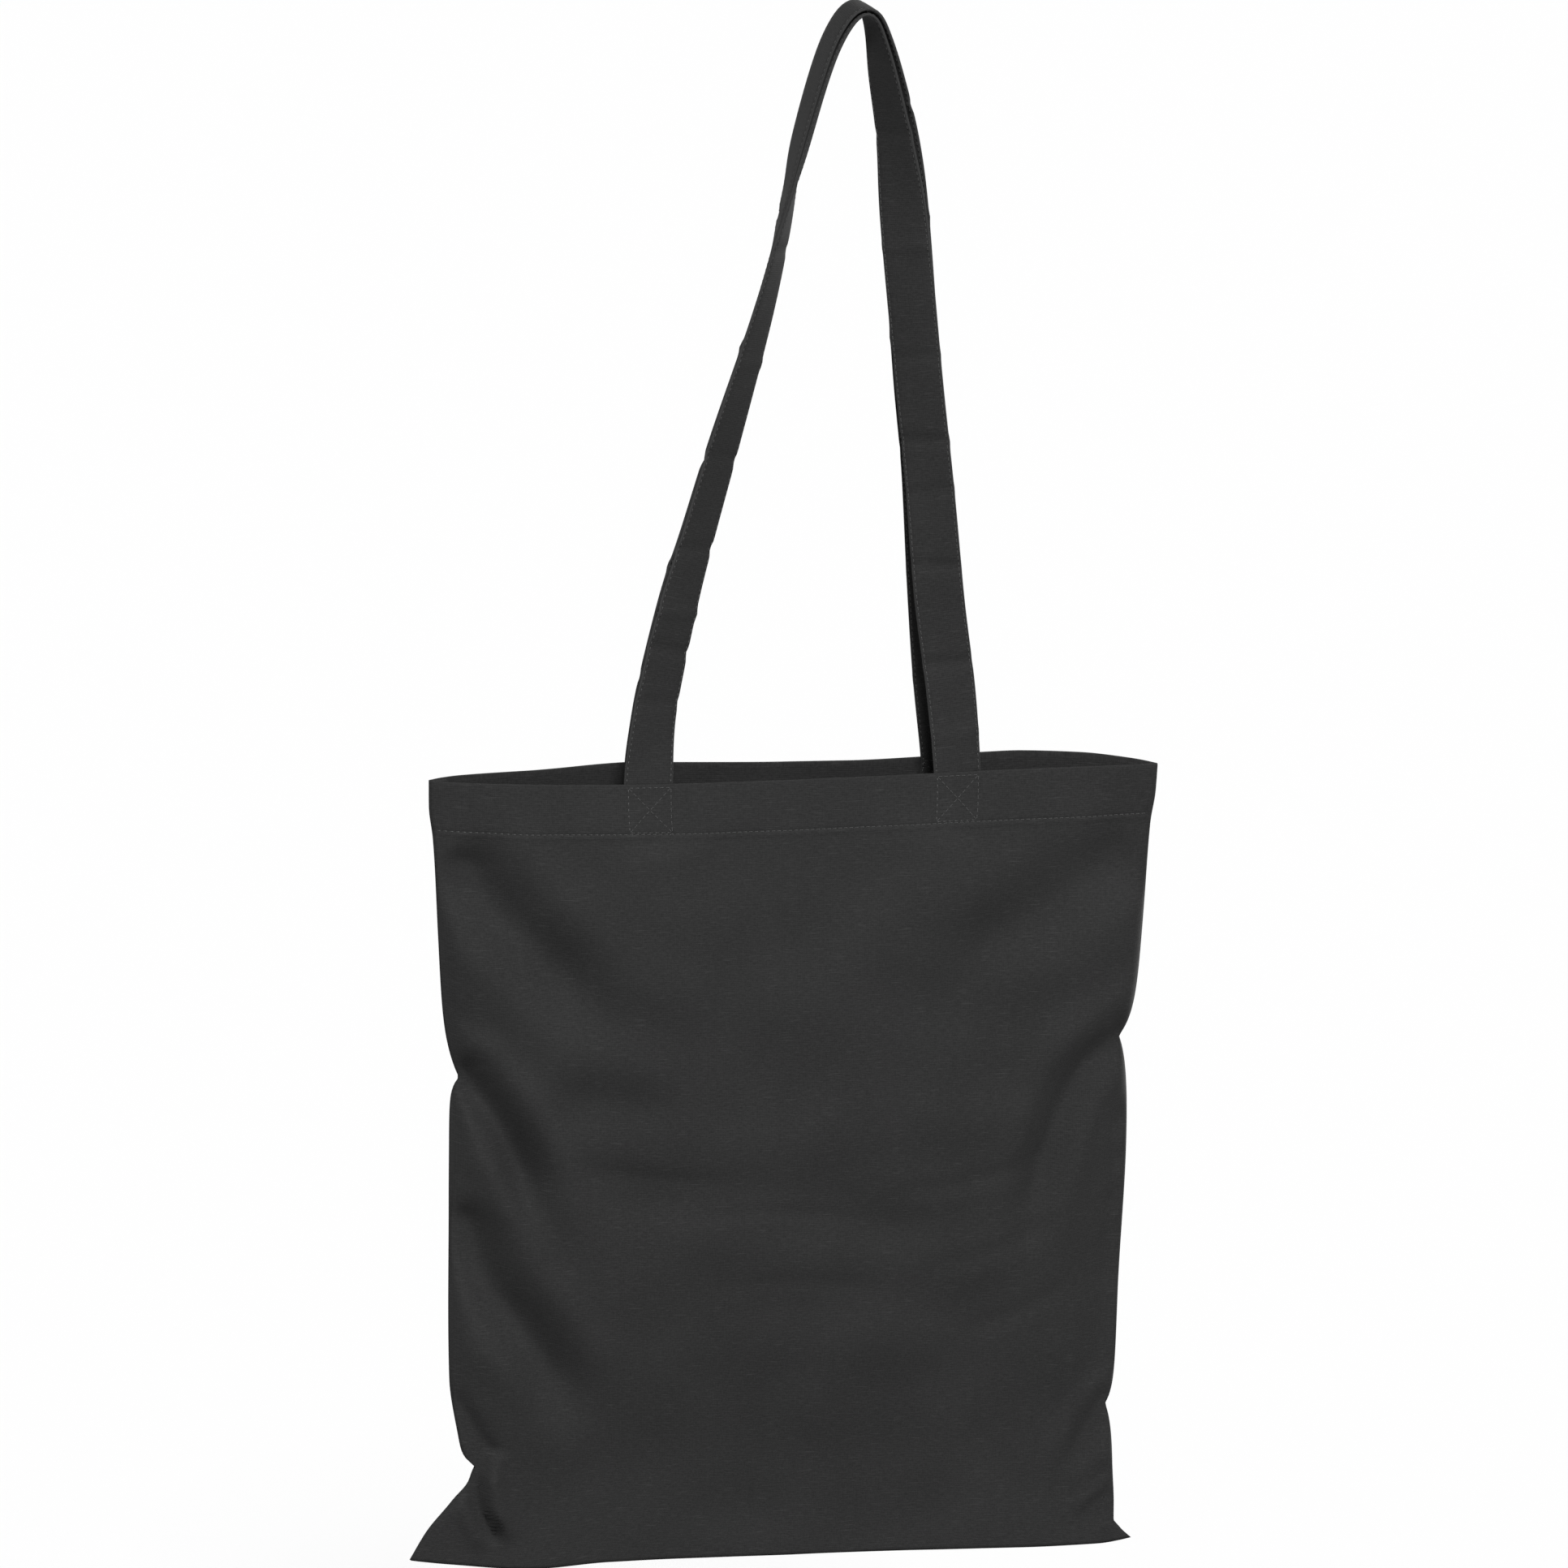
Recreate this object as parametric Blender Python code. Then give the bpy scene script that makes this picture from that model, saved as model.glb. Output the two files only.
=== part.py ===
"""Cotton tote bag with two long handles, hanging from the top of its handle loops.

The bag hangs in its own frame: +Z up, the front panel faces -Y, and the origin is the hang
point, the underside of the front handle loop at its top, where a hook or a hand bears.
The solids are plain: two panels with turned-in hems, two straps, the straps' sewn ends, the
overlocked seams inside the bag, and the visible lines of sewing thread.
"""

import math

import bmesh
import bpy
from mathutils import Vector

MM = 0.001

# Hang point to bag: the loop hangs a little to the right of the bag's middle.
RIM_BELOW_HOOK = 385.7          # top edge of the hem, below the hang point
BAG_MIDDLE_X = -22.0            # the bag's middle, beside the hang point

# Bag body, measured from the middle of the rim, in millimetres.
BAG_HEIGHT = 400.0              # hanging, rim to bottom edge
CLOTH = 0.6                     # cotton canvas, one layer
HEM_DEPTH = 26.5                # turned-in hem at the rim
HEM_EXTRA = 0.7                 # the turned layers behind the panel's own cloth
FRONT_RIM_BULGE = 17.0          # how far the front rim stands out at its middle
BACK_RIM_BULGE = 24.0
FRONT_RIM_SKEW = 15.7           # the front rim stands out further on the left
BACK_RIM_SKEW = 0.0
FRONT_BELLY = 21.0              # extra depth half-way down
BACK_BELLY = 17.0
BULGE_POWER = 0.8               # how square the bulge is from side to side
PANEL_GAP = 0.2                 # each panel's distance from the seam plane

# Half widths of the hanging bag, as (height from the rim, half width).
LEFT_EDGE = [(0.0, 188.0), (-30.0, 185.0), (-100.0, 179.0), (-152.0, 170.5), (-230.0, 171.0),
             (-306.0, 168.0), (-349.0, 158.0), (-374.0, 170.0), (-400.0, 185.5)]
RIGHT_EDGE = [(0.0, 188.0), (-30.0, 185.0), (-100.0, 181.0), (-139.0, 174.5), (-203.0, 177.0),
              (-290.0, 175.0), (-328.0, 172.0), (-368.0, 177.0), (-400.0, 186.0)]

# Handles: straps folded from a strip of the same cloth.
STRAP_WIDTH = 25.0
STRAP_THICKNESS = 1.6
FOLD_HEIGHT = 1.0               # the loops fold over the hem, just above its edge
LAP_GAP = 0.3                   # clearance between sewn layers
SEWN_TOP = 2.4                  # the fixed end of a strap stops just above the rim
FREE_START = 2.8                # and the swinging loop starts here
SEWN_BOTTOM = -24.5             # lower end of a strap behind the hem

# Route of a handle loop: x, height above the rim, and how far the strap has turned its
# front face inwards, in degrees. The back loop lies on the outside of the front one.
FRONT_ROUTE = [(-80.0, FREE_START, 0), (-79.0, 21.0, 12), (-76.3, 42.0, 18),
               (-66.6, 88.0, 25), (-58.0, 119.5, 33), (-45.0, 166.5, 38), (-26.4, 232.0, 50),
               (-15.6, 275.0, 62), (-6.0, 317.0, 80), (2.8, 351.0, 84), (9.8, 372.0, 87),
               (18.5, 386.5, 90), (25.5, 386.5, 90), (30.2, 373.0, 84), (34.6, 353.0, 68),
               (41.8, 318.0, 56), (48.0, 273.0, 30), (57.0, 199.0, 30), (63.6, 149.0, 28),
               (70.6, 88.0, 13), (77.7, 42.0, 4), (82.0, FREE_START, 0)]
BACK_ROUTE = [(-70.0, FREE_START, 0), (-69.3, 21.0, 13), (-67.0, 42.0, 20),
              (-58.7, 88.0, 28), (-50.9, 119.5, 35), (-39.2, 166.5, 41), (-23.5, 232.0, 60),
              (-16.6, 275.0, 76), (-9.2, 317.0, 86), (-0.9, 352.0, 88), (6.6, 375.0, 90),
              (17.0, 390.3, 90), (27.0, 390.3, 90), (34.0, 375.6, 86), (39.0, 354.0, 70),
              (46.2, 319.0, 56), (51.0, 273.0, 34), (59.5, 199.0, 30), (66.3, 149.0, 28),
              (72.8, 88.0, 15), (77.8, 42.0, 4), (83.0, FREE_START, 0)]
FRONT_ENDS = (-80.0, 82.0)
BACK_ENDS = (-70.0, 83.0)

# Sewing.
THREAD_WIDTH = 0.8
THREAD_THICKNESS = 0.4
THREAD_LIFT = 0.45              # how far the thread stands off the cloth
EDGE_STITCH_INSET = 1.3         # edge stitching, from the strap's edge
BOX_WIDTH = 22.0                # the box-and-cross sewing at each strap end
BOX_TOP = -1.7
SEAM_WIDTH = 6.0                # overlocked seam edge inside the bag
SEAM_THICKNESS = 0.7
SEAM_INSET = 6.0                # where the overlocking starts, from the bag's edge

# Mesh steps.
ACROSS = 18
DOWN = 16
LOOP_STEPS = 3

CLOTH_COLOUR = (0.032, 0.032, 0.033, 1.0)
STRAP_COLOUR = (0.030, 0.030, 0.031, 1.0)
THREAD_COLOUR = (0.050, 0.050, 0.051, 1.0)


def clear_scene():
    """Remove whatever the scene holds."""
    for old in list(bpy.data.objects):
        bpy.data.objects.remove(old, do_unlink=True)


def finish_material(name, colour, roughness):
    """A matt cotton finish."""
    material = bpy.data.materials.new(name)
    material.use_nodes = True
    shader = material.node_tree.nodes["Principled BSDF"]
    shader.inputs["Base Color"].default_value = colour
    shader.inputs["Roughness"].default_value = roughness
    shader.inputs["Metallic"].default_value = 0.0
    return material


def in_hook_frame(x, y, height):
    """From bag millimetres (height above the rim) to metres from the hang point."""
    return Vector(((x + BAG_MIDDLE_X) * MM, y * MM, (height - RIM_BELOW_HOOK) * MM))


def make_object(name, mesh_builder, colour, pivot=(0.0, 0.0, 0.0)):
    """Turn a bmesh in world metres into a named object whose origin is at its pivot."""
    offset = Vector(pivot)
    bmesh.ops.recalc_face_normals(mesh_builder, faces=mesh_builder.faces)
    bmesh.ops.translate(mesh_builder, verts=mesh_builder.verts, vec=-offset)
    mesh = bpy.data.meshes.new(name)
    mesh_builder.to_mesh(mesh)
    mesh_builder.free()
    mesh.materials.append(finish_material(name + "_finish", colour, 0.9))
    piece = bpy.data.objects.new(name, mesh)
    piece.location = offset
    bpy.context.scene.collection.objects.link(piece)
    return piece


def smooth_value(knots, at):
    """Read a smooth curve through (place, value) knots whose places run downwards."""
    for low in range(len(knots) - 1):
        place_a, value_a = knots[low]
        place_b, value_b = knots[low + 1]
        if at >= place_b or low == len(knots) - 2:
            step = (at - place_a) / (place_b - place_a)
            step = min(max(step, 0.0), 1.0)
            ease = step * step * (3.0 - 2.0 * step)
            blend = 0.5 * step + 0.5 * ease
            return value_a + (value_b - value_a) * blend
    return knots[-1][1]


def catmull_point(knots, index, step):
    """One point of a Catmull-Rom curve between knots index and index + 1."""
    last = len(knots) - 1
    before = knots[max(index - 1, 0)]
    start = knots[index]
    end = knots[index + 1]
    after = knots[min(index + 2, last)]
    point = []
    for a, b, c, d in zip(before, start, end, after):
        value = 2.0 * b + (c - a) * step
        value += (2.0 * a - 5.0 * b + 4.0 * c - d) * step ** 2
        value += (3.0 * b - a - 3.0 * c + d) * step ** 3
        point.append(0.5 * value)
    return point


def half_width(side, height):
    """Distance from the bag's middle to one side edge at a height."""
    return smooth_value(LEFT_EDGE if side < 0 else RIGHT_EDGE, height)


def panel_depth(rim_bulge, rim_skew, belly, share, down):
    """How far a panel stands out, for a place across (-1 to 1) and down (0 to 1)."""
    depth = rim_bulge * (1.0 - down) + 4.0 * belly * down * (1.0 - down)
    room = max(1.0 - share * share, 0.0)
    return depth * room ** BULGE_POWER - rim_skew * (1.0 - down) * share * room


def panel_y(facing, x, height):
    """The inner face of a panel's own cloth, facing -1 at the front and +1 at the back."""
    share = x / half_width(x, height)
    down = -height / BAG_HEIGHT
    if facing < 0:
        depth = panel_depth(FRONT_RIM_BULGE, FRONT_RIM_SKEW, FRONT_BELLY, share, down)
    else:
        depth = panel_depth(BACK_RIM_BULGE, BACK_RIM_SKEW, BACK_BELLY, share, down)
    return facing * (PANEL_GAP + depth)


def skin_between(builder, inner, outer):
    """Join two equal grids of points into one closed shell."""
    rows = len(inner)
    columns = len(inner[0])
    for row in range(rows - 1):
        for column in range(columns - 1):
            for grid in (inner, outer):
                builder.faces.new((grid[row][column], grid[row][column + 1],
                                   grid[row + 1][column + 1], grid[row + 1][column]))
    border = [(0, c) for c in range(columns)]
    border += [(r, columns - 1) for r in range(1, rows)]
    border += [(rows - 1, c) for c in range(columns - 2, -1, -1)]
    border += [(r, 0) for r in range(rows - 2, 0, -1)]
    for here, there in zip(border, border[1:] + border[:1]):
        builder.faces.new((inner[here[0]][here[1]], inner[there[0]][there[1]],
                           outer[there[0]][there[1]], outer[here[0]][here[1]]))


def panel_heights():
    """Row heights of a panel: the hem's rows, then rows that crowd towards the bottom."""
    hem_rows = [0.0, -HEM_DEPTH, -HEM_DEPTH - 0.5]
    body = []
    for step in range(1, DOWN + 1):
        down = math.sin(0.5 * math.pi * step / DOWN)
        body.append(hem_rows[-1] - down * (BAG_HEIGHT + hem_rows[-1]))
    return hem_rows + body


def build_panel(name, facing):
    """One cloth panel with its turned-in hem, from the rim to the bottom edge."""
    builder = bmesh.new()
    inner = []
    outer = []
    for height in panel_heights():
        hem = HEM_EXTRA if height >= -HEM_DEPTH else 0.0
        inner_row = []
        outer_row = []
        for step in range(ACROSS + 1):
            share = math.sin(math.pi * (step / ACROSS - 0.5))
            x = share * half_width(share, height)
            y = panel_y(facing, x, height)
            tuck = hem * max(1.0 - share ** 8, 0.0)
            inner_row.append(builder.verts.new(in_hook_frame(x, y - facing * tuck, height)))
            outer_row.append(builder.verts.new(in_hook_frame(x, y + facing * CLOTH, height)))
        inner.append(inner_row)
        outer.append(outer_row)
    skin_between(builder, inner, outer)
    return make_object(name, builder, CLOTH_COLOUR)


def end_layer_y(facing, x, height):
    """The side of a sewn strap end that lies against the hem's inner face."""
    return panel_y(facing, x, height) - facing * (HEM_EXTRA + LAP_GAP)


def build_strap_end(name, facing, middle_x):
    """The end of a strap, sewn flat behind the hem."""
    builder = bmesh.new()
    near = []
    far = []
    for height in (SEWN_TOP, 0.0, -8.0, -16.0, SEWN_BOTTOM):
        near_row = []
        far_row = []
        for side in (-0.5, -0.25, 0.0, 0.25, 0.5):
            x = middle_x + side * STRAP_WIDTH
            y = end_layer_y(facing, x, min(height, 0.0))
            near_row.append(builder.verts.new(in_hook_frame(x, y, height)))
            far_row.append(builder.verts.new(
                in_hook_frame(x, y - facing * STRAP_THICKNESS, height)))
        near.append(near_row)
        far.append(far_row)
    skin_between(builder, near, far)
    return make_object(name, builder, STRAP_COLOUR)


def strap_base_y(facing, middle_x):
    """The middle of a strap's thickness where it leaves the rim."""
    return end_layer_y(facing, middle_x, 0.0) - facing * 0.5 * STRAP_THICKNESS


def fold_axis(facing, middle_xs):
    """A loop folds over the outer edge of the hem: the middle of that line."""
    left, right = [in_hook_frame(x, panel_y(facing, x, 0.0) + facing * CLOTH, FOLD_HEIGHT)
                   for x in middle_xs]
    return 0.5 * (left + right)


def loop_stations(facing, route):
    """Centre points, width directions and face normals along a handle loop.

    The loop starts flat against the hem, turns its front face inwards on the way up and
    lies flat over the hook; its legs lean from the rim to the hook's plane.
    """
    top = max(knot[1] for knot in route)
    start_y = strap_base_y(facing, route[0][0])
    end_y = strap_base_y(facing, route[-1][0])
    samples = []
    for index in range(len(route) - 1):
        flat_on_hook = route[index][1] == route[index + 1][1] == top
        steps = 1 if flat_on_hook else LOOP_STEPS
        for step in range(steps):
            samples.append(catmull_point(route, index, step / steps))
    samples.append(list(route[-1]))
    middle = len(samples) // 2
    points = []
    for number, (x, height, _turn) in enumerate(samples):
        base_y = start_y if number < middle else end_y
        lean = max(1.0 - (height - FREE_START) / (top - FREE_START), 0.0)
        points.append(in_hook_frame(x, base_y * lean, height))
    stations = []
    for number, point in enumerate(points):
        ahead = points[min(number + 1, len(points) - 1)]
        behind = points[max(number - 1, 0)]
        along = (ahead - behind).normalized()
        if number in (0, len(points) - 1):
            along = Vector((0.0, 0.0, 1.0 if number == 0 else -1.0))
        if samples[number][1] == top:
            along = Vector((1.0, 0.0, 0.0))
        inwards = Vector((along.z, 0.0, -along.x)).normalized()
        turn = math.radians(samples[number][2])
        forwards = Vector((0.0, -1.0, 0.0))
        face = forwards * math.cos(turn) + inwards * math.sin(turn)
        face = (face - along * face.dot(along)).normalized()
        stations.append((point, along.cross(face).normalized(), face))
    return stations


def sweep(builder, stations, across_low, across_high, face_low, face_high):
    """Sweep a rectangle along the stations; sizes in millimetres from the centre line."""
    rings = []
    for point, across, face in stations:
        ring = []
        for a, f in ((across_low, face_low), (across_high, face_low),
                     (across_high, face_high), (across_low, face_high)):
            ring.append(builder.verts.new(point + across * a * MM + face * f * MM))
        rings.append(ring)
    for here, there in zip(rings, rings[1:]):
        for side in range(4):
            following = (side + 1) % 4
            builder.faces.new((here[side], here[following], there[following], there[side]))
    builder.faces.new(rings[0])
    builder.faces.new(rings[-1])


def build_loop(name, facing, route, ends):
    """The swinging length of a handle, turned on its fold line."""
    builder = bmesh.new()
    half = 0.5 * STRAP_WIDTH
    depth = 0.5 * STRAP_THICKNESS
    sweep(builder, loop_stations(facing, route), -half, half, -depth, depth)
    return make_object(name, builder, STRAP_COLOUR, fold_axis(facing, ends))


def build_edge_stitch(name, facing, route, ends, side):
    """One line of edge stitching along a handle loop, on the face away from the hook."""
    builder = bmesh.new()
    outer = side * (0.5 * STRAP_WIDTH - EDGE_STITCH_INSET)
    lift = 0.5 * STRAP_THICKNESS + THREAD_LIFT
    low = min(outer, outer - side * THREAD_WIDTH)
    sweep(builder, loop_stations(facing, route)[1:-1], low, low + THREAD_WIDTH,
          -lift - THREAD_THICKNESS, -lift)
    return make_object(name, builder, THREAD_COLOUR, fold_axis(facing, ends))


def cloth_point(facing, x, height, lift):
    """A point that stands off the outer face of a panel."""
    y = panel_y(facing, x, height) + facing * (CLOTH + lift)
    return in_hook_frame(x, y, height)


def build_hem_stitch(name, facing):
    """The line of stitching that holds the hem, across one panel."""
    builder = bmesh.new()
    near = []
    far = []
    for height in (-HEM_DEPTH + 1.5, -HEM_DEPTH + 1.5 - THREAD_WIDTH):
        near_row = []
        far_row = []
        for step in range(-15, 16):
            x = 12.2 * step
            near_row.append(builder.verts.new(cloth_point(facing, x, height, THREAD_LIFT)))
            far_row.append(builder.verts.new(
                cloth_point(facing, x, height, THREAD_LIFT + THREAD_THICKNESS)))
        near.append(near_row)
        far.append(far_row)
    skin_between(builder, near, far)
    return make_object(name, builder, THREAD_COLOUR)


def box_outline(middle_x):
    """Plan of the box-and-cross sewing: outer corners and the four triangles left open."""
    low = -HEM_DEPTH + 1.5 + THREAD_WIDTH
    half = 0.5 * BOX_WIDTH
    corners = [(middle_x - half, BOX_TOP), (middle_x + half, BOX_TOP),
               (middle_x + half, low), (middle_x - half, low)]
    centre = (middle_x, 0.5 * (BOX_TOP + low))
    holes = []
    for side in range(4):
        corner_a = corners[side]
        corner_b = corners[(side + 1) % 4]
        middle = [0.5 * (a + b) for a, b in zip(corner_a, corner_b)]
        reach = math.dist(middle, centre)
        inset = THREAD_WIDTH / reach
        hole = []
        for corner in (corner_a, corner_b):
            pulled = [c + (m - c) * 0.18 for c, m in zip(corner, middle)]
            hole.append([p + (z - m) * inset for p, z, m in zip(pulled, centre, middle)])
        hole.append([z + (m - z) * 0.12 for z, m in zip(centre, middle)])
        holes.append(hole)
    return corners, holes


def build_box_stitch(name, facing, middle_x):
    """The box-and-cross sewing that holds one strap end."""
    builder = bmesh.new()
    corners, holes = box_outline(middle_x)
    layers = []
    for lift in (THREAD_LIFT, THREAD_LIFT + THREAD_THICKNESS):
        outer = [builder.verts.new(cloth_point(facing, x, z, lift)) for x, z in corners]
        inner = [[builder.verts.new(cloth_point(facing, x, z, lift)) for x, z in hole]
                 for hole in holes]
        for side in range(4):
            following = (side + 1) % 4
            builder.faces.new((outer[side], outer[following], inner[side][1], inner[side][0]))
            builder.faces.new((outer[following], inner[following][0], inner[following][2],
                               inner[side][2], inner[side][1]))
        builder.faces.new([hole[2] for hole in inner])
        layers.append((outer, inner))
    (outer_near, inner_near), (outer_far, inner_far) = layers
    loops = [(outer_near, outer_far)] + list(zip(inner_near, inner_far))
    for near, far in loops:
        for here in range(len(near)):
            following = (here + 1) % len(near)
            builder.faces.new((near[here], near[following], far[following], far[here]))
    return make_object(name, builder, THREAD_COLOUR)


def build_side_seam(name, side):
    """The overlocked edge of a side seam, standing inwards in the seam plane."""
    builder = bmesh.new()
    near = []
    far = []
    heights = [-3.0 - step * (BAG_HEIGHT - 33.0) / 24 for step in range(25)]
    for height in heights:
        near_row = []
        far_row = []
        for inset in (SEAM_INSET, SEAM_INSET + SEAM_WIDTH):
            x = side * (half_width(side, height) - inset)
            near_row.append(builder.verts.new(in_hook_frame(x, -0.5 * SEAM_THICKNESS, height)))
            far_row.append(builder.verts.new(in_hook_frame(x, 0.5 * SEAM_THICKNESS, height)))
        near.append(near_row)
        far.append(far_row)
    skin_between(builder, near, far)
    return make_object(name, builder, THREAD_COLOUR)


def build_bottom_seam(name):
    """The overlocked edge of the bottom seam, standing upwards inside the bag."""
    builder = bmesh.new()
    near = []
    far = []
    for height in (-BAG_HEIGHT + SEAM_INSET + SEAM_WIDTH, -BAG_HEIGHT + SEAM_INSET):
        near_row = []
        far_row = []
        for step in range(-10, 11):
            x = 13.0 * step
            near_row.append(builder.verts.new(in_hook_frame(x, -0.5 * SEAM_THICKNESS, height)))
            far_row.append(builder.verts.new(in_hook_frame(x, 0.5 * SEAM_THICKNESS, height)))
        near.append(near_row)
        far.append(far_row)
    skin_between(builder, near, far)
    return make_object(name, builder, THREAD_COLOUR)


def build_side_of_bag(word, facing, route, ends):
    """One panel with everything that is sewn to it, and its handle loop."""
    build_panel(word + "_panel", facing)
    build_hem_stitch(word + "_hem_stitch", facing)
    for side_word, middle_x in zip(("left", "right"), ends):
        build_strap_end(word + "_handle_" + side_word + "_end", facing, middle_x)
        build_box_stitch(word + "_box_stitch_" + side_word, facing, middle_x)
    build_loop(word + "_handle", facing, route, ends)
    for edge_word, side in (("inner", 1), ("outer", -1)):
        build_edge_stitch(word + "_handle_" + edge_word + "_stitch", facing, route, ends, side)


clear_scene()
build_side_of_bag("front", -1, FRONT_ROUTE, FRONT_ENDS)
build_side_of_bag("back", 1, BACK_ROUTE, BACK_ENDS)
build_side_seam("left_side_seam", -1)
build_side_seam("right_side_seam", 1)
build_bottom_seam("bottom_seam")
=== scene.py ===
"""Looks of a black cotton tote bag that hangs from its two long handles.

Two plain-woven panels with turned-in hems are overlocked together inside, and two folded
straps are sewn behind the hem with a box and cross. Cloth is laid out in real millimetres
of flat cloth, then hung, so the weave follows the hanging cloth.
Every stitch that can be seen is its own piece of thread.
"""

import logging
import math
from dataclasses import dataclass, field
from enum import Enum
from typing import Sequence

import bpy
import numpy as np
from mathutils import Matrix, Vector


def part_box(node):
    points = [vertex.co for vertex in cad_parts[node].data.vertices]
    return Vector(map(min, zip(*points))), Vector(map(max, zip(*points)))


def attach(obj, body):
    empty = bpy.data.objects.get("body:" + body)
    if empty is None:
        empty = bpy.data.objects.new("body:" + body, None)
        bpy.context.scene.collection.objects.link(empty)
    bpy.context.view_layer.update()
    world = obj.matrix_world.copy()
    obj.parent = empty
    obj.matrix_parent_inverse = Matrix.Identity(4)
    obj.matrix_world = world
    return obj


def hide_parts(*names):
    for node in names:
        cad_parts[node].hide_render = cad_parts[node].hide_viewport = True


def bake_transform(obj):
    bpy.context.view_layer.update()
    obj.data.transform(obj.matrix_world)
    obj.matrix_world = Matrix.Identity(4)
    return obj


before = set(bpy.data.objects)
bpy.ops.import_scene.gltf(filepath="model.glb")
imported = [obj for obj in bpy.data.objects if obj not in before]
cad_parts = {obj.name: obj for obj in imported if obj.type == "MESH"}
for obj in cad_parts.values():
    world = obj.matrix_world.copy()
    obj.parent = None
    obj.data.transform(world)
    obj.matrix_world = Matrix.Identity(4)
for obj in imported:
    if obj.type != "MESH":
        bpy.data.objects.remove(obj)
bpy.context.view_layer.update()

LOG = logging.getLogger("tote_bag")
MM = 0.001
CLOTH_MAP = "cloth"             # the UV layer that holds flat cloth places, in metres
WAVE_REPEAT = 2 * math.pi / 20  # a wave texture of scale 1 repeats over this length
VIEW_MIDDLE = (-5.0, 0.0, -6.1)     # what the camera looks at, in bag millimetres


class Side(Enum):
    """Which panel of the bag a piece belongs to; the value is the way it faces along Y."""

    FRONT = -1
    BACK = 1


class Face(Enum):
    """The two faces of a strap: the one that looks forwards at the rim, and its back."""

    FORWARD = 1
    REVERSE = -1


# ---------------------------------------------------------------- curves and small maths


def smooth_curve(knots: Sequence[tuple[float, float]], at: np.ndarray) -> np.ndarray:
    """A cubic through knots that keeps their shape, with no overshoot between them.

    Args:
        knots: (place, value) pairs with rising places.
        at: Places to read, clamped to the knots' range.

    Returns:
        The values at those places.
    """
    place, value = np.array(knots, float).T
    gap = np.diff(place)
    slope = np.diff(value) / gap
    tangent = np.concatenate(([slope[0]], np.zeros(len(place) - 2), [slope[-1]]))
    rising = slope[:-1] * slope[1:] > 0
    before = 2 * gap[1:] + gap[:-1]
    after = gap[1:] + 2 * gap[:-1]
    safe = np.where(rising, slope[:-1], 1.0), np.where(rising, slope[1:], 1.0)
    mean = (before + after) / (before / safe[0] + after / safe[1])
    tangent[1:-1] = np.where(rising, mean, 0.0)
    spot = np.clip(np.asarray(at, float), place[0], place[-1])
    low = np.clip(np.searchsorted(place, spot, side="right") - 1, 0, len(place) - 2)
    step = (spot - place[low]) / gap[low]
    ease = step * step * (3 - 2 * step)
    bow = step * (step - 1) * gap[low]
    return (value[low] + (value[low + 1] - value[low]) * ease
            + bow * ((step - 1) * tangent[low] + step * tangent[low + 1]))


def smooth_step(start: float, end: float, at: np.ndarray) -> np.ndarray:
    """A soft step from 0 at start to 1 at end."""
    step = np.clip((np.asarray(at, float) - start) / (end - start), 0.0, 1.0)
    return step * step * (3 - 2 * step)


def rounded_route(points: Sequence[Sequence[float]], steps: int) -> np.ndarray:
    """A Catmull-Rom curve through points, of any number of values each.

    Args:
        points: The points it passes.
        steps: How many pieces each stretch is cut into.

    Returns:
        The curve's points, one row each.
    """
    knots = np.array(points, float)
    padded = np.vstack([2 * knots[0] - knots[1], knots, 2 * knots[-1] - knots[-2]])
    rows = []
    for low in range(len(knots) - 1):
        a, b, c, d = padded[low:low + 4]
        for step in np.arange(steps) / steps:
            rows.append(0.5 * (2 * b + (c - a) * step
                               + (2 * a - 5 * b + 4 * c - d) * step ** 2
                               + (3 * b - a - 3 * c + d) * step ** 3))
    rows.append(knots[-1])
    return np.array(rows)


def unit(vectors: np.ndarray) -> np.ndarray:
    """Vectors scaled to length 1, along their last axis."""
    length = np.linalg.norm(vectors, axis=-1, keepdims=True)
    return vectors / np.maximum(length, 1e-12)


# ---------------------------------------------------------------- meshes


def make_piece(name: str, points_m: np.ndarray, faces: list[tuple[int, ...]],
               flat_mm: np.ndarray, material: bpy.types.Material) -> bpy.types.Object:
    """Make a smooth-shaded object with its flat cloth places as a UV layer.

    Args:
        name: The object's name.
        points_m: Its points, in metres.
        faces: Its faces, as point numbers.
        flat_mm: Each point's place on the flat cloth, in millimetres.
        material: Its finish.

    Returns:
        The object, linked to the scene.
    """
    mesh = bpy.data.meshes.new(name)
    mesh.from_pydata(points_m.tolist(), [], faces)
    mesh.polygons.foreach_set("use_smooth", [True] * len(mesh.polygons))
    corners = np.empty(len(mesh.loops), np.int32)
    mesh.loops.foreach_get("vertex_index", corners)
    layer = mesh.uv_layers.new(name=CLOTH_MAP)
    layer.data.foreach_set("uv", (flat_mm[corners] * MM).astype(np.float32).ravel())
    mesh.materials.append(material)
    mesh.update()
    piece = bpy.data.objects.new(name, mesh)
    bpy.context.scene.collection.objects.link(piece)
    return piece


def grid_faces(rows: int, columns: int, start: int, flip: bool) -> list[tuple[int, ...]]:
    """Quads of a grid of points.

    Args:
        rows: How many rows of points it has.
        columns: How many points a row has.
        start: The number of its first point.
        flip: Whether the quads wind the other way.

    Returns:
        The quads, as point numbers.
    """
    faces = []
    for row in range(rows - 1):
        for column in range(columns - 1):
            corner = start + row * columns + column
            quad = (corner, corner + columns, corner + columns + 1, corner + 1)
            faces.append(quad[::-1] if flip else quad)
    return faces


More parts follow.
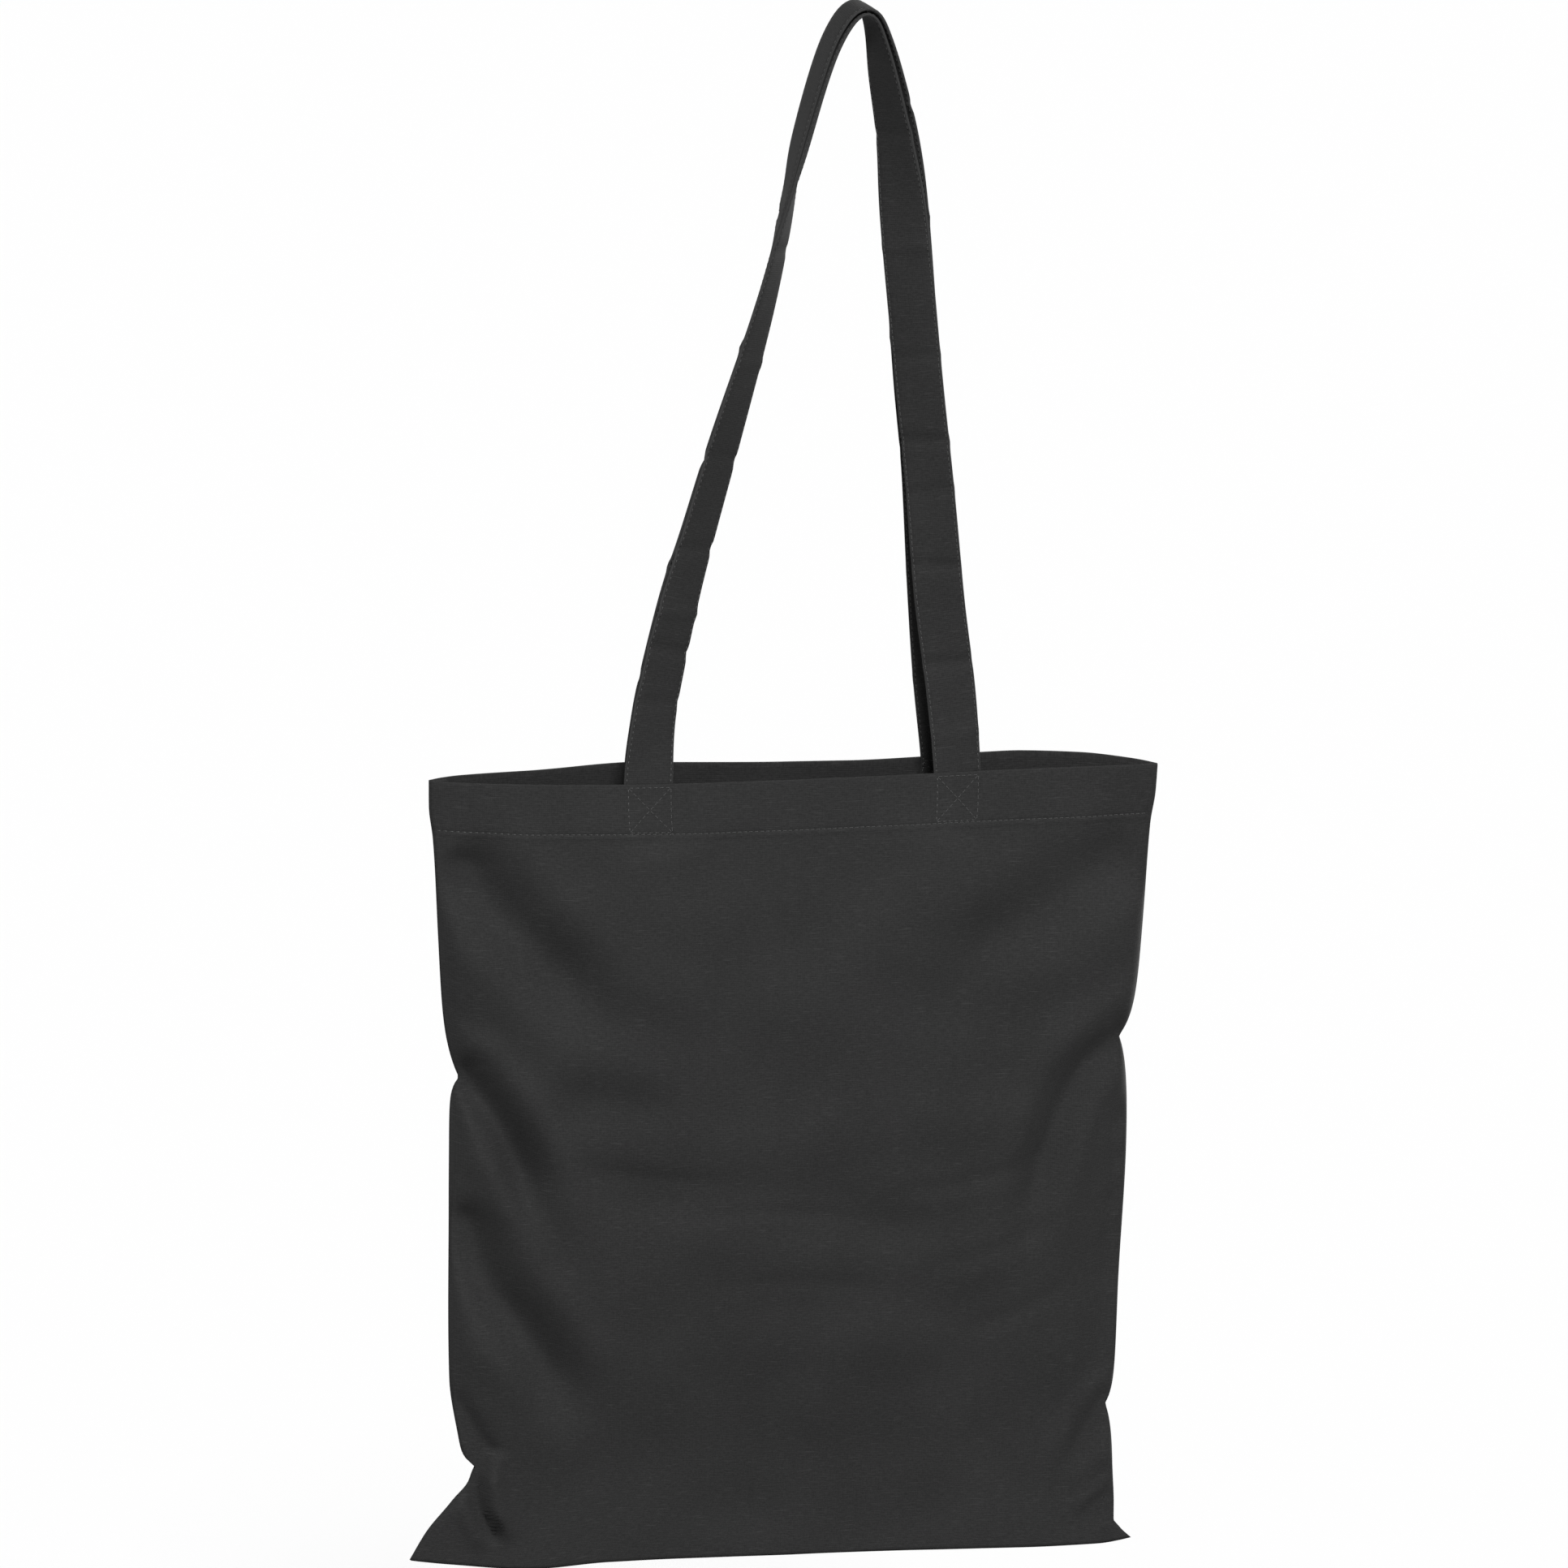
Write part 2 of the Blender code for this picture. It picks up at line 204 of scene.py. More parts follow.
def grid_border(rows: int, columns: int) -> list[int]:
    """Walk round a grid's border.

    Args:
        rows: How many rows of points it has.
        columns: How many points a row has.

    Returns:
        The border's point numbers, in order.
    """
    top = list(range(columns))
    right = [row * columns + columns - 1 for row in range(1, rows)]
    bottom = [(rows - 1) * columns + column for column in range(columns - 2, -1, -1)]
    left = [row * columns for row in range(rows - 2, 0, -1)]
    return top + right + bottom + left


def sheet_piece(name: str, face: np.ndarray, back: np.ndarray, flat: np.ndarray,
                flip: bool, material: bpy.types.Material) -> bpy.types.Object:
    """Make a closed thin sheet between two equal grids of points.

    Args:
        name: The piece's name.
        face: The outer face's points, in metres.
        back: The inner face's points, in metres.
        flat: Each point's place on the flat cloth, in millimetres.
        flip: Whether the outer face's quads wind the other way.
        material: Its finish.

    Returns:
        The piece.
    """
    rows, columns = face.shape[:2]
    count = rows * columns
    faces = grid_faces(rows, columns, 0, flip) + grid_faces(rows, columns, count, not flip)
    border = grid_border(rows, columns)
    for here, there in zip(border, border[1:] + border[:1]):
        edge = (here, there, there + count, here + count)
        faces.append(edge[::-1] if flip else edge)
    points = np.vstack([face.reshape(-1, 3), back.reshape(-1, 3)])
    places = np.vstack([flat.reshape(-1, 2)] * 2)
    return make_piece(name, points, faces, places, material)


def ring_faces(rings: int, around: int, start: int = 0) -> list[tuple[int, ...]]:
    """Faces of a closed tube of rings with capped ends.

    Args:
        rings: How many rings of points it has.
        around: How many points a ring has.
        start: The number of its first point.

    Returns:
        The faces, as point numbers.
    """
    faces = []
    for ring in range(rings - 1):
        for spot in range(around):
            following = (spot + 1) % around
            low = start + ring * around
            faces.append((low + spot, low + following,
                          low + around + following, low + around + spot))
    faces.append(tuple(start + spot for spot in range(around - 1, -1, -1)))
    last = start + (rings - 1) * around
    faces.append(tuple(last + spot for spot in range(around)))
    return faces


# ---------------------------------------------------------------- finishes


def linear_colour(code: str) -> tuple[float, float, float, float]:
    """An sRGB hex colour as linear red, green, blue and alpha."""
    values = [int(code[start:start + 2], 16) / 255 for start in (1, 3, 5)]
    linear = [v / 12.92 if v <= 0.04045 else ((v + 0.055) / 1.055) ** 2.4 for v in values]
    return (*linear, 1.0)


def add_node(material: bpy.types.Material | bpy.types.World, kind: str,
             links: dict | None = None, values: dict | None = None,
             **settings: object) -> bpy.types.Node:
    """Add one shader node with its settings, socket values and incoming links.

    Args:
        material: The material or world that gets the node.
        kind: The node's type.
        links: Input name or number to the output socket that feeds it.
        values: Input name or number to its value.
        settings: Attributes of the node itself.

    Returns:
        The new node.
    """
    node = material.node_tree.nodes.new(kind)
    for setting, value in settings.items():
        setattr(node, setting, value)
    for socket, value in (values or {}).items():
        node.inputs[socket].default_value = value
    for socket, source in (links or {}).items():
        material.node_tree.links.new(source, node.inputs[socket])
    return node


@dataclass(frozen=True)
class WovenCotton:
    """Plain-woven black cotton, about 140 g a square metre, dyed in the piece.

    The yarns are spun and uneven, so thicker ones show as fine pale streaks along the weft,
    and the raised fibres give a matt face with a faint sheen at low angles. The real yarns
    lie about 0.5 mm apart, too fine to show at arm's length, so they are drawn at 1 mm.
    """

    name: str = "cotton_canvas"
    shade: str = "#262626"
    yarn: str = "#353535"
    pale_yarn: str = "#4a4a4a"
    yarn_pitch_mm: float = 1.0
    streak_length_mm: float = 4.0
    streak_width_mm: float = 0.45
    roughness: float = 0.92
    # from this far off the strip's middle, its folded edges get a painted highlight; 0 for none
    edge_highlight_from_mm: float = 0.0

    def material(self) -> bpy.types.Material:
        """Build the finish on the flat cloth's own places.

        Returns:
            The material.
        """
        made = bpy.data.materials.new(self.name)
        made.use_nodes = True
        shader = made.node_tree.nodes["Principled BSDF"]
        shader.inputs["Roughness"].default_value = self.roughness
        shader.inputs["Specular IOR Level"].default_value = 0.2
        shader.inputs["Sheen Weight"].default_value = 0.10
        shader.inputs["Sheen Roughness"].default_value = 0.45
        shader.inputs["Sheen Tint"].default_value = linear_colour("#9a9a9a")
        places = add_node(made, "ShaderNodeUVMap", uv_map=CLOTH_MAP).outputs["UV"]
        streaks = self._stretched_noise(made, places, self.streak_length_mm,
                                        self.streak_width_mm, 2.0)
        slubs = self._stretched_noise(made, places, 3.0 * self.streak_length_mm,
                                      1.6 * self.streak_width_mm, 1.0)
        ends = self._stretched_noise(made, places, self.streak_width_mm,
                                     0.7 * self.streak_length_mm, 2.0)
        grain = self._stretched_noise(made, places, 1.3, 1.1, 3.0)
        cloud = self._stretched_noise(made, places, 70.0, 55.0, 2.0)
        weave = self._weave(made, places)
        tone = self._weighted_sum(made, [(streaks, 0.34), (ends, 0.10), (grain, 0.30),
                                         (cloud, 0.16), (weave, 0.10)])
        ramp = add_node(made, "ShaderNodeValToRGB", {"Fac": tone})
        ramp.color_ramp.elements[0].position = 0.36
        ramp.color_ramp.elements[0].color = linear_colour(self.shade)
        ramp.color_ramp.elements[1].position = 0.64
        ramp.color_ramp.elements[1].color = linear_colour(self.yarn)
        sparse = add_node(made, "ShaderNodeMapRange", {"Value": slubs},
                          {"From Min": 0.66, "From Max": 0.80, "To Max": 0.28})
        colour = add_node(made, "ShaderNodeMix", {0: sparse.outputs[0], 6: ramp.outputs[0]},
                          {7: linear_colour(self.pale_yarn)}, data_type="RGBA")
        made.node_tree.links.new(self._painted_edge_highlight(made, places, colour.outputs[2]),
                                 shader.inputs["Base Color"])
        relief = self._weighted_sum(made, [(weave, 0.5), (streaks, 0.35), (slubs, 0.25),
                                           (grain, 0.3)])
        bump = add_node(made, "ShaderNodeBump", {"Height": relief},
                        {"Strength": 0.55, "Distance": 0.00022})
        made.node_tree.links.new(bump.outputs[0], shader.inputs["Normal"])
        return made

    def _stretched_noise(self, made: bpy.types.Material, places: bpy.types.NodeSocket,
                         along_mm: float, across_mm: float,
                         detail: float) -> bpy.types.NodeSocket:
        """Add noise whose grains are stretched along the weft.

        Args:
            made: The material.
            places: Places on the flat cloth.
            along_mm: How long a grain is along the weft.
            across_mm: How wide it is across the weft.
            detail: How many finer layers the noise has.

        Returns:
            The noise, from 0 to 1.
        """
        scale = (1.0 / (along_mm * MM), 1.0 / (across_mm * MM), 1.0)
        laid = add_node(made, "ShaderNodeMapping", {"Vector": places}, {"Scale": scale})
        noise = add_node(made, "ShaderNodeTexNoise", {"Vector": laid.outputs[0]},
                         {"Scale": 1.0, "Detail": detail, "Roughness": 0.55},
                         noise_dimensions="2D")
        return noise.outputs["Fac"]

    def _weave(self, made: bpy.types.Material,
               places: bpy.types.NodeSocket) -> bpy.types.NodeSocket:
        """Add over-and-under yarns, as the product of two crossed waves.

        Args:
            made: The material.
            places: Places on the flat cloth.

        Returns:
            The weave's height, from 0 to 1.
        """
        waves = []
        for direction in ("X", "Y"):
            wave = add_node(made, "ShaderNodeTexWave", {"Vector": places},
                            {"Scale": WAVE_REPEAT / (self.yarn_pitch_mm * MM),
                             "Distortion": 0.0},
                            wave_type="BANDS", bands_direction=direction)
            waves.append(wave.outputs["Fac"])
        product = add_node(made, "ShaderNodeMath", {0: waves[0], 1: waves[1]},
                           operation="MULTIPLY")
        return product.outputs[0]

    def _weighted_sum(self, made: bpy.types.Material,
                      parts: Sequence[tuple[bpy.types.NodeSocket, float]]
                      ) -> bpy.types.NodeSocket:
        """Add up values, each with its weight.

        Args:
            made: The material.
            parts: The values and their weights.

        Returns:
            The sum.
        """
        total = None
        for value, weight in parts:
            if total is None:
                node = add_node(made, "ShaderNodeMath", {0: value}, {1: weight},
                                operation="MULTIPLY")
            else:
                node = add_node(made, "ShaderNodeMath", {0: value, 2: total}, {1: weight},
                                operation="MULTIPLY_ADD")
            total = node.outputs[0]
        return total

    def _painted_edge_highlight(self, made: bpy.types.Material, places: bpy.types.NodeSocket,
              colour: bpy.types.NodeSocket) -> bpy.types.NodeSocket:
        """Paint the cloth paler along the strip's folded edges: a painted highlight where an
        edge catches the light.

        Args:
            made: The material.
            places: Places on the flat cloth, across from the middle of the strip.
            colour: The cloth's own colour.

        Returns:
            The colour with its painted edge highlight.
        """
        if self.edge_highlight_from_mm <= 0.0:
            return colour
        # painted highlight: the strip's folded edges are drawn paler, as if lit
        across = add_node(made, "ShaderNodeSeparateXYZ", {"Vector": places}).outputs["X"]
        reach = add_node(made, "ShaderNodeMath", {0: across}, operation="ABSOLUTE")
        edge_highlight_share = add_node(made, "ShaderNodeMapRange", {"Value": reach.outputs[0]},
                        {"From Min": self.edge_highlight_from_mm * MM,
                         "From Max": (self.edge_highlight_from_mm + 0.8) * MM, "To Max": 0.35})
        mixed = add_node(made, "ShaderNodeMix", {0: edge_highlight_share.outputs[0], 6: colour},
                         {7: linear_colour(self.pale_yarn)}, data_type="RGBA")
        return mixed.outputs[2]


@dataclass(frozen=True)
class SpunThread:
    """Spun polyester sewing thread, twisted from plies; its paler ply stripes are a painted
    glint.
    """

    name: str = "sewing_thread"
    shade: str = "#343434"
    light: str = "#505050"
    ply_pitch_mm: float = 0.7
    roughness: float = 0.6

    def material(self) -> bpy.types.Material:
        """Build the finish with its plies slanting across the thread.

        Returns:
            The material.
        """
        made = bpy.data.materials.new(self.name)
        made.use_nodes = True
        shader = made.node_tree.nodes["Principled BSDF"]
        shader.inputs["Roughness"].default_value = self.roughness
        shader.inputs["Specular IOR Level"].default_value = 0.4
        places = add_node(made, "ShaderNodeUVMap", uv_map=CLOTH_MAP).outputs["UV"]
        plies = add_node(made, "ShaderNodeTexWave", {"Vector": places},
                         {"Scale": WAVE_REPEAT / (self.ply_pitch_mm * MM)},
                         wave_type="BANDS", bands_direction="DIAGONAL")
        # painted glint: each ply band runs from the dark shade colour to the paler light colour
        ramp = add_node(made, "ShaderNodeValToRGB", {"Fac": plies.outputs["Fac"]})
        ramp.color_ramp.elements[0].color = linear_colour(self.shade)
        ramp.color_ramp.elements[1].color = linear_colour(self.light)
        made.node_tree.links.new(ramp.outputs[0], shader.inputs["Base Color"])
        bump = add_node(made, "ShaderNodeBump", {"Height": plies.outputs["Fac"]},
                        {"Strength": 0.5, "Distance": 0.0001})
        made.node_tree.links.new(bump.outputs[0], shader.inputs["Normal"])
        return made


@dataclass(frozen=True)
class PaintedPaper:
    """Seamless background paper, matt and almost white."""

    name: str = "background_paper"
    shade: str = "#f6f6f6"

    def material(self) -> bpy.types.Material:
        """Build the plain finish.

        Returns:
            The material.
        """
        made = bpy.data.materials.new(self.name)
        made.use_nodes = True
        shader = made.node_tree.nodes["Principled BSDF"]
        shader.inputs["Base Color"].default_value = linear_colour(self.shade)
        shader.inputs["Roughness"].default_value = 1.0
        shader.inputs["Specular IOR Level"].default_value = 0.0
        return made


# ---------------------------------------------------------------- the hanging bag's shape


@dataclass(frozen=True)
class HangFrame:
    """Where the bag hangs: bag millimetres, from the middle of the rim, to world metres."""

    middle_x: float
    rim_z: float

    @classmethod
    def from_cad(cls) -> "HangFrame":
        """Read the rim's middle from the front panel's box."""
        low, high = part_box("front_panel")
        return cls(0.5 * (low[0] + high[0]), high[2])

    def world(self, points_mm: np.ndarray) -> np.ndarray:
        """Bag millimetres to world metres."""
        return points_mm * MM + np.array([self.middle_x, 0.0, self.rim_z])


@dataclass(frozen=True)
class Crease:
    """A soft fold pressed into a panel along a route of (x, height) points.

    A positive depth is a valley; a negative one is a ridge. Cloth beside the line rises a
    little, because it has to go somewhere.
    """

    route: tuple[tuple[float, float], ...]
    depth: float
    width: float
    start_fade: float = 0.2
    end_fade: float = 0.45
    shoulder: float = 0.3

    def valley(self, x: np.ndarray, height: np.ndarray) -> np.ndarray:
        """How far the crease presses in at each place.

        Args:
            x: Places across the bag, in millimetres.
            height: Their heights above the rim.

        Returns:
            The crease's depth at those places, in millimetres.
        """
        line = rounded_route(self.route, 8)
        near = np.full(x.shape, np.inf)
        share = np.zeros(x.shape)
        lengths = np.linalg.norm(np.diff(line, axis=0), axis=1)
        before = np.concatenate(([0.0], np.cumsum(lengths)))
        for start, end, length, so_far in zip(line, line[1:], lengths, before):
            run = end - start
            step = ((x - start[0]) * run[0] + (height - start[1]) * run[1]) / length ** 2
            step = np.clip(step, 0.0, 1.0)
            away = np.hypot(x - start[0] - step * run[0], height - start[1] - step * run[1])
            closer = away < near
            near = np.where(closer, away, near)
            share = np.where(closer, (so_far + step * length) / before[-1], share)
        fade = smooth_step(0.0, self.start_fade, share) if self.start_fade > 0 else 1.0
        fade = fade * (1.0 - smooth_step(1.0 - self.end_fade, 1.0, share))
        core = np.exp(-(near / self.width) ** 2)
        sides = np.exp(-((near - 1.9 * self.width) / (0.9 * self.width)) ** 2)
        return self.depth * fade * (core - self.shoulder * sides)


@dataclass(frozen=True)
class EdgeNotch:
    """A place where a side seam buckles inwards; a fold hangs over it from above."""

    height: float
    depth: float
    above: float
    below: float
    reach: float = 14.0

    def pull(self, height: np.ndarray, from_edge: np.ndarray) -> np.ndarray:
        """How far cloth moves in towards the middle.

        Args:
            height: Heights above the rim, in millimetres.
            from_edge: Distances from the side seam.

        Returns:
            The moves, in millimetres.
        """
        gap = height - self.height
        over = np.exp(-np.maximum(gap, 0.0) / self.above)
        under = np.exp(-np.maximum(-gap, 0.0) / self.below)
        return self.depth * over * under * np.exp(-from_edge / self.reach)


@dataclass(frozen=True)
class PanelShape:
    """The outer face of one hanging panel, from flat cloth places to bag millimetres."""

    side: Side
    rim_bulge: float
    rim_skew: float
    belly: float
    creases: tuple[Crease, ...]
    rim_lift: tuple[tuple[float, float], ...]
    ripple_seed: int
    flat_half_width: float = 190.0
    flat_height: float = 420.0
    hung_height: float = 400.0
    stiff_height: float = 30.0          # the hem hangs flat, with no shortening
    edge_gap: float = 0.9               # half the thickness of the rolled side edge
    bulge_power: float = 0.8
    hem_height: float = 26.5
    stitch_height: float = 25.0
    rim_half_width: float = 188.0
    hem_step: float = 0.45              # the turned hem stands out by this much
    stitch_sink: float = 0.35           # the hem's stitching sinks in by this much
    bottom_flatness: float = 0.45       # the bulge dies away towards the bottom seam
    side_steepness: float = 0.36        # below the hem the sides turn in more steeply
    crease_fade: float = 4.0            # creases fade out this close to a side seam
    seam_rise: float = 3.0              # the cloth rises from the seam over this distance
    least_depth: float = 1.2            # squared; keeps a crease off the seam plane
    waves: int = 14
    wave_height: float = 0.16
    puckers: int = 5
    pucker_height: float = 0.32
    pucker_reach: float = 9.0
    left_edge: tuple[tuple[float, float], ...] = (
        (-400, 186.0), (-384, 177.4), (-368, 165.6), (-357, 159.0), (-340, 162.0),
        (-306, 168.3), (-215, 171.3), (-170, 172.6), (-122, 177.6), (-78, 181.0),
        (-30, 185.0), (-14, 187.5), (0, 188.0))
    right_edge: tuple[tuple[float, float], ...] = (
        (-400, 187.5), (-394.5, 182.3), (-389, 178.2), (-380, 178.0), (-358, 176.8),
        (-310, 176.2), (-273, 176.3), (-203, 178.3), (-165, 178.9), (-124, 181.0),
        (-70, 183.4), (-30, 185.2), (-14, 187.4), (0, 188.0))
    left_notches: tuple[EdgeNotch, ...] = (
        EdgeNotch(-152, 6.2, 15.0, 6.0), EdgeNotch(-350, 6.0, 3.0, 8.0))
    right_notches: tuple[EdgeNotch, ...] = (
        EdgeNotch(-139, 7.6, 11.0, 17.0), EdgeNotch(-328, 4.6, 8.0, 12.0))
    bottom_edge: tuple[tuple[float, float], ...] = (
        (-188, 398.6), (-165, 401.4), (-123, 405.0), (-83, 402.4), (-20, 401.5),
        (55, 400.9), (135, 401.0), (170, 400.2), (188, 397.6))

    def hung(self, down: np.ndarray) -> np.ndarray:
        """How far below the rim a flat cloth depth hangs; the lower cloth bunches up."""
        loose = (self.hung_height - self.stiff_height) / (self.flat_height - self.stiff_height)
        return np.where(down < self.stiff_height, down,
                        self.stiff_height + (down - self.stiff_height) * loose)

    def flat_across(self, x: float) -> float:
        """The flat place across the panel of a place along the rim."""
        return x * self.flat_half_width / self.rim_half_width

    def place(self, across: np.ndarray, down: np.ndarray) -> np.ndarray:
        """Where flat cloth places hang.

        Args:
            across: Flat distance from the panel's middle, in millimetres.
            down: Flat distance from the rim, in millimetres.

        Returns:
            Bag millimetres, with a last axis of x, y and height.
        """
        across, down = np.broadcast_arrays(np.asarray(across, float), np.asarray(down, float))
        share = np.clip(across / self.flat_half_width, -1.0, 1.0)
        height = -self.hung(down)
        width = np.where(share < 0, smooth_curve(self.left_edge, height),
                         smooth_curve(self.right_edge, height))
        from_edge = (1.0 - np.abs(share)) * self.flat_half_width
        x = share * width
        for notch in self.left_notches:
            x = x + np.where(share < 0, notch.pull(height, from_edge), 0.0)
        for notch in self.right_notches:
            x = x - np.where(share > 0, notch.pull(height, from_edge), 0.0)
        low = smooth_curve(self.bottom_edge, x) / self.hung_height
        height = height * (1.0 + (low - 1.0) * smooth_step(300.0, 400.0, -height))
        height = height + smooth_curve(self.rim_lift, x) * np.exp(height / 30.0)
        depth = self._depth(share, down) + self._hem_relief(down)
        depth = self._folded(depth, x, height, down, from_edge)
        y = self.side.value * (self.edge_gap + depth)
        return np.stack([x, y, height], axis=-1)

    def _depth(self, share: np.ndarray, down: np.ndarray) -> np.ndarray:
        """How far the plain bulge stands out.

        Args:
            share: Places across the panel, from -1 at its left edge to 1.
            down: Flat distances from the rim, in millimetres.

        Returns:
            The bulge, in millimetres.
        """
        part = self.hung(down) / self.hung_height
        room = np.clip(1.0 - share * share, 0.0, 1.0)
        full = self.rim_bulge * (1.0 - part) + 4.0 * self.belly * part * (1.0 - part)
        full = full * (1.0 - self.bottom_flatness * smooth_step(0.7, 0.95, part))
        power = self.bulge_power - self.side_steepness * smooth_step(25.0, 90.0, down)
        return full * room ** power - self.rim_skew * (1.0 - part) * share * room

    def _hem_relief(self, down: np.ndarray) -> np.ndarray:
        """The hem is thicker than the panel, and its stitching sinks into the cloth."""
        below = smooth_step(self.hem_height, self.hem_height + 2.0, down)
        sunk = self.stitch_sink * np.exp(-((down - self.stitch_height) / 0.8) ** 2)
        return self.hem_step * (1.0 - below) - sunk

    def _folded(self, depth: np.ndarray, x: np.ndarray, height: np.ndarray,
                down: np.ndarray, from_edge: np.ndarray) -> np.ndarray:
        """Add the creases and fine ripples; a panel never passes through the seam plane.

        Args:
            depth: How far the plain bulge stands out, in millimetres.
            x: Places across the bag.
            height: Their heights above the rim.
            down: Flat distances from the rim.
            from_edge: Distances from the side seam.

        Returns:
            How far the folded cloth stands out.
        """
        pressed = sum(crease.valley(x, height) for crease in self.creases)
        room = 1.0 - np.exp(-from_edge / self.crease_fade)
        loose = 0.2 + 0.8 * smooth_step(20.0, 60.0, down)
        free = depth + (self._ripples(x, height, from_edge) * loose - pressed) * room
        outside = 0.5 * (free + np.sqrt(free * free + self.least_depth))
        return outside * np.tanh(from_edge / self.seam_rise)

    def _ripples(self, x: np.ndarray, height: np.ndarray,
                 from_edge: np.ndarray) -> np.ndarray:
        """Slight waves of hanging cloth, and puckers along the side seams.

        Args:
            x: Places across the bag, in millimetres.
            height: Their heights above the rim.
            from_edge: Distances from the side seam.

        Returns:
            The ripples' height at those places.
        """
        draw = np.random.default_rng(self.ripple_seed)
        total = np.zeros(x.shape)
        for _ in range(self.waves):
            wave = draw.uniform(35.0, 110.0)
            angle = draw.uniform(-0.9, 0.9) + (math.pi / 2 if draw.random() < 0.65 else 0.0)
            phase = draw.uniform(0.0, 2 * math.pi)
            along = x * math.cos(angle) + height * math.sin(angle)
            total += self.wave_height * np.sin(2 * math.pi * along / wave + phase)
        for _ in range(self.puckers):
            wave = draw.uniform(11.0, 26.0)
            phase = draw.uniform(0.0, 2 * math.pi)
            pucker = np.sin(2 * math.pi * (height + 0.35 * from_edge) / wave + phase)
            total += self.pucker_height * pucker * np.exp(-from_edge / self.pucker_reach)
        return total


FRONT_CREASES = (
    Crease(((-178, -30), (-160, -58), (-133, -86), (-108, -112), (-86, -140)), 11.5, 15.0,
           0.15, 0.45),
    Crease(((-168, -150), (-152, -170), (-138, -198), (-130, -240)), 12.5, 9.0, 0.0, 0.5),
    Crease(((-171, -206), (-155, -249), (-136, -277), (-114, -310), (-105, -345)), 12.5, 12.0,
           0.15, 0.5),
    Crease(((182, -40), (150, -58), (112, -80), (70, -106)), 5.5, 15.0, 0.15, 0.5),
    Crease(((172, -138), (150, -154), (136, -184), (126, -222), (122, -262)), 8.5, 10.0,
           0.0, 0.5),
    Crease(((180, -150), (174, -220), (173, -300), (178, -340)), 9.0, 17.0, 0.2, 0.3, 0.0),
    Crease(((-130, -158), (-92, -163), (-50, -174)), 3.2, 12.0, 0.3, 0.5),
    Crease(((-110, -206), (-60, -212), (0, -208), (60, -214)), 2.0, 13.0, 0.3, 0.3),
    Crease(((-40, -232), (30, -226), (90, -234)), 1.8, 11.0, 0.3, 0.3),
    Crease(((-156, -346), (-155, -360), (-151, -375), (-141, -394)), 9.0, 3.2, 0.0, 0.3, 0.0),
    Crease(((-168, -360), (-161, -372), (-153, -386), (-146, -398)), -3.0, 4.5, 0.0, 0.3, 0.0),
    Crease(((-147, -342), (-146.5, -360), (-143, -376), (-133, -393)), -9.0, 5.5, 0.1, 0.4,
           0.0),
    Crease(((-172, -310), (-160, -332), (-150, -348), (-145, -358)), 11.0, 6.5, 0.2, 0.3, 0.0),
    Crease(((-165, -335), (-158, -348)), -6.0, 5.0, 0.3, 0.1, 0.0),
    Crease(((173, -328), (164, -341), (158, -356), (156, -368)), 6.0, 7.0, 0.0, 0.5),
    Crease(((176, -377), (168, -384), (161, -392)), 5.0, 4.5, 0.0, 0.5),
    Crease(((-76, -26), (-62, -80), (-40, -160)), -3.2, 22.0, 0.1, 0.5),
    Crease(((80, -26), (52, -84), (4, -166)), -2.6, 24.0, 0.1, 0.5),
    Crease(((-112, -194), (-70, -200), (-24, -203)), 0.55, 4.0, 0.3, 0.3),
    Crease(((-66, -222), (-12, -219), (44, -225)), 0.5, 3.5, 0.3, 0.3),
    Crease(((40, -212), (92, -207), (142, -192)), 0.65, 4.5, 0.3, 0.3),
    Crease(((66, -252), (108, -243), (150, -224)), 0.6, 4.5, 0.3, 0.3),
    Crease(((-50, -258), (4, -255), (58, -262)), 0.4, 4.0, 0.3, 0.3),
    Crease(((84, -286), (118, -277), (152, -260)), 0.55, 4.5, 0.3, 0.3),
)

BACK_CREASES = (
    Crease(((-181, -44), (-150, -70), (-118, -104), (-96, -140)), 7.0, 15.0, 0.15, 0.5),
    Crease(((-168, -151), (-146, -166), (-128, -196), (-118, -238)), 7.5, 10.0, 0.0, 0.5),
    Crease(((182, -38), (152, -66), (120, -100), (100, -142)), 7.5, 15.0, 0.15, 0.5),
    Crease(((172, -139), (150, -158), (138, -190), (132, -230)), 7.5, 10.0, 0.0, 0.5),
    Crease(((-160, -349), (-138, -346), (-112, -362)), 5.0, 8.0, 0.0, 0.6),
    Crease(((173, -328), (150, -332), (128, -350)), 5.0, 8.0, 0.0, 0.6),
    Crease(((-60, -232), (0, -240), (70, -230)), 3.0, 15.0, 0.3, 0.3),
    Crease(((150, -230), (134, -270), (128, -320)), 5.0, 12.0, 0.3, 0.4),
    Crease(((-70, -26), (-52, -90), (-20, -180)), -3.0, 22.0, 0.1, 0.5),
    Crease(((83, -26), (60, -90), (24, -180)), -3.0, 22.0, 0.1, 0.5),
)


# ---------------------------------------------------------------- thread


THREAD_GUIDE = (0.31, 0.87, 0.39)       # a direction that no swept thread runs along


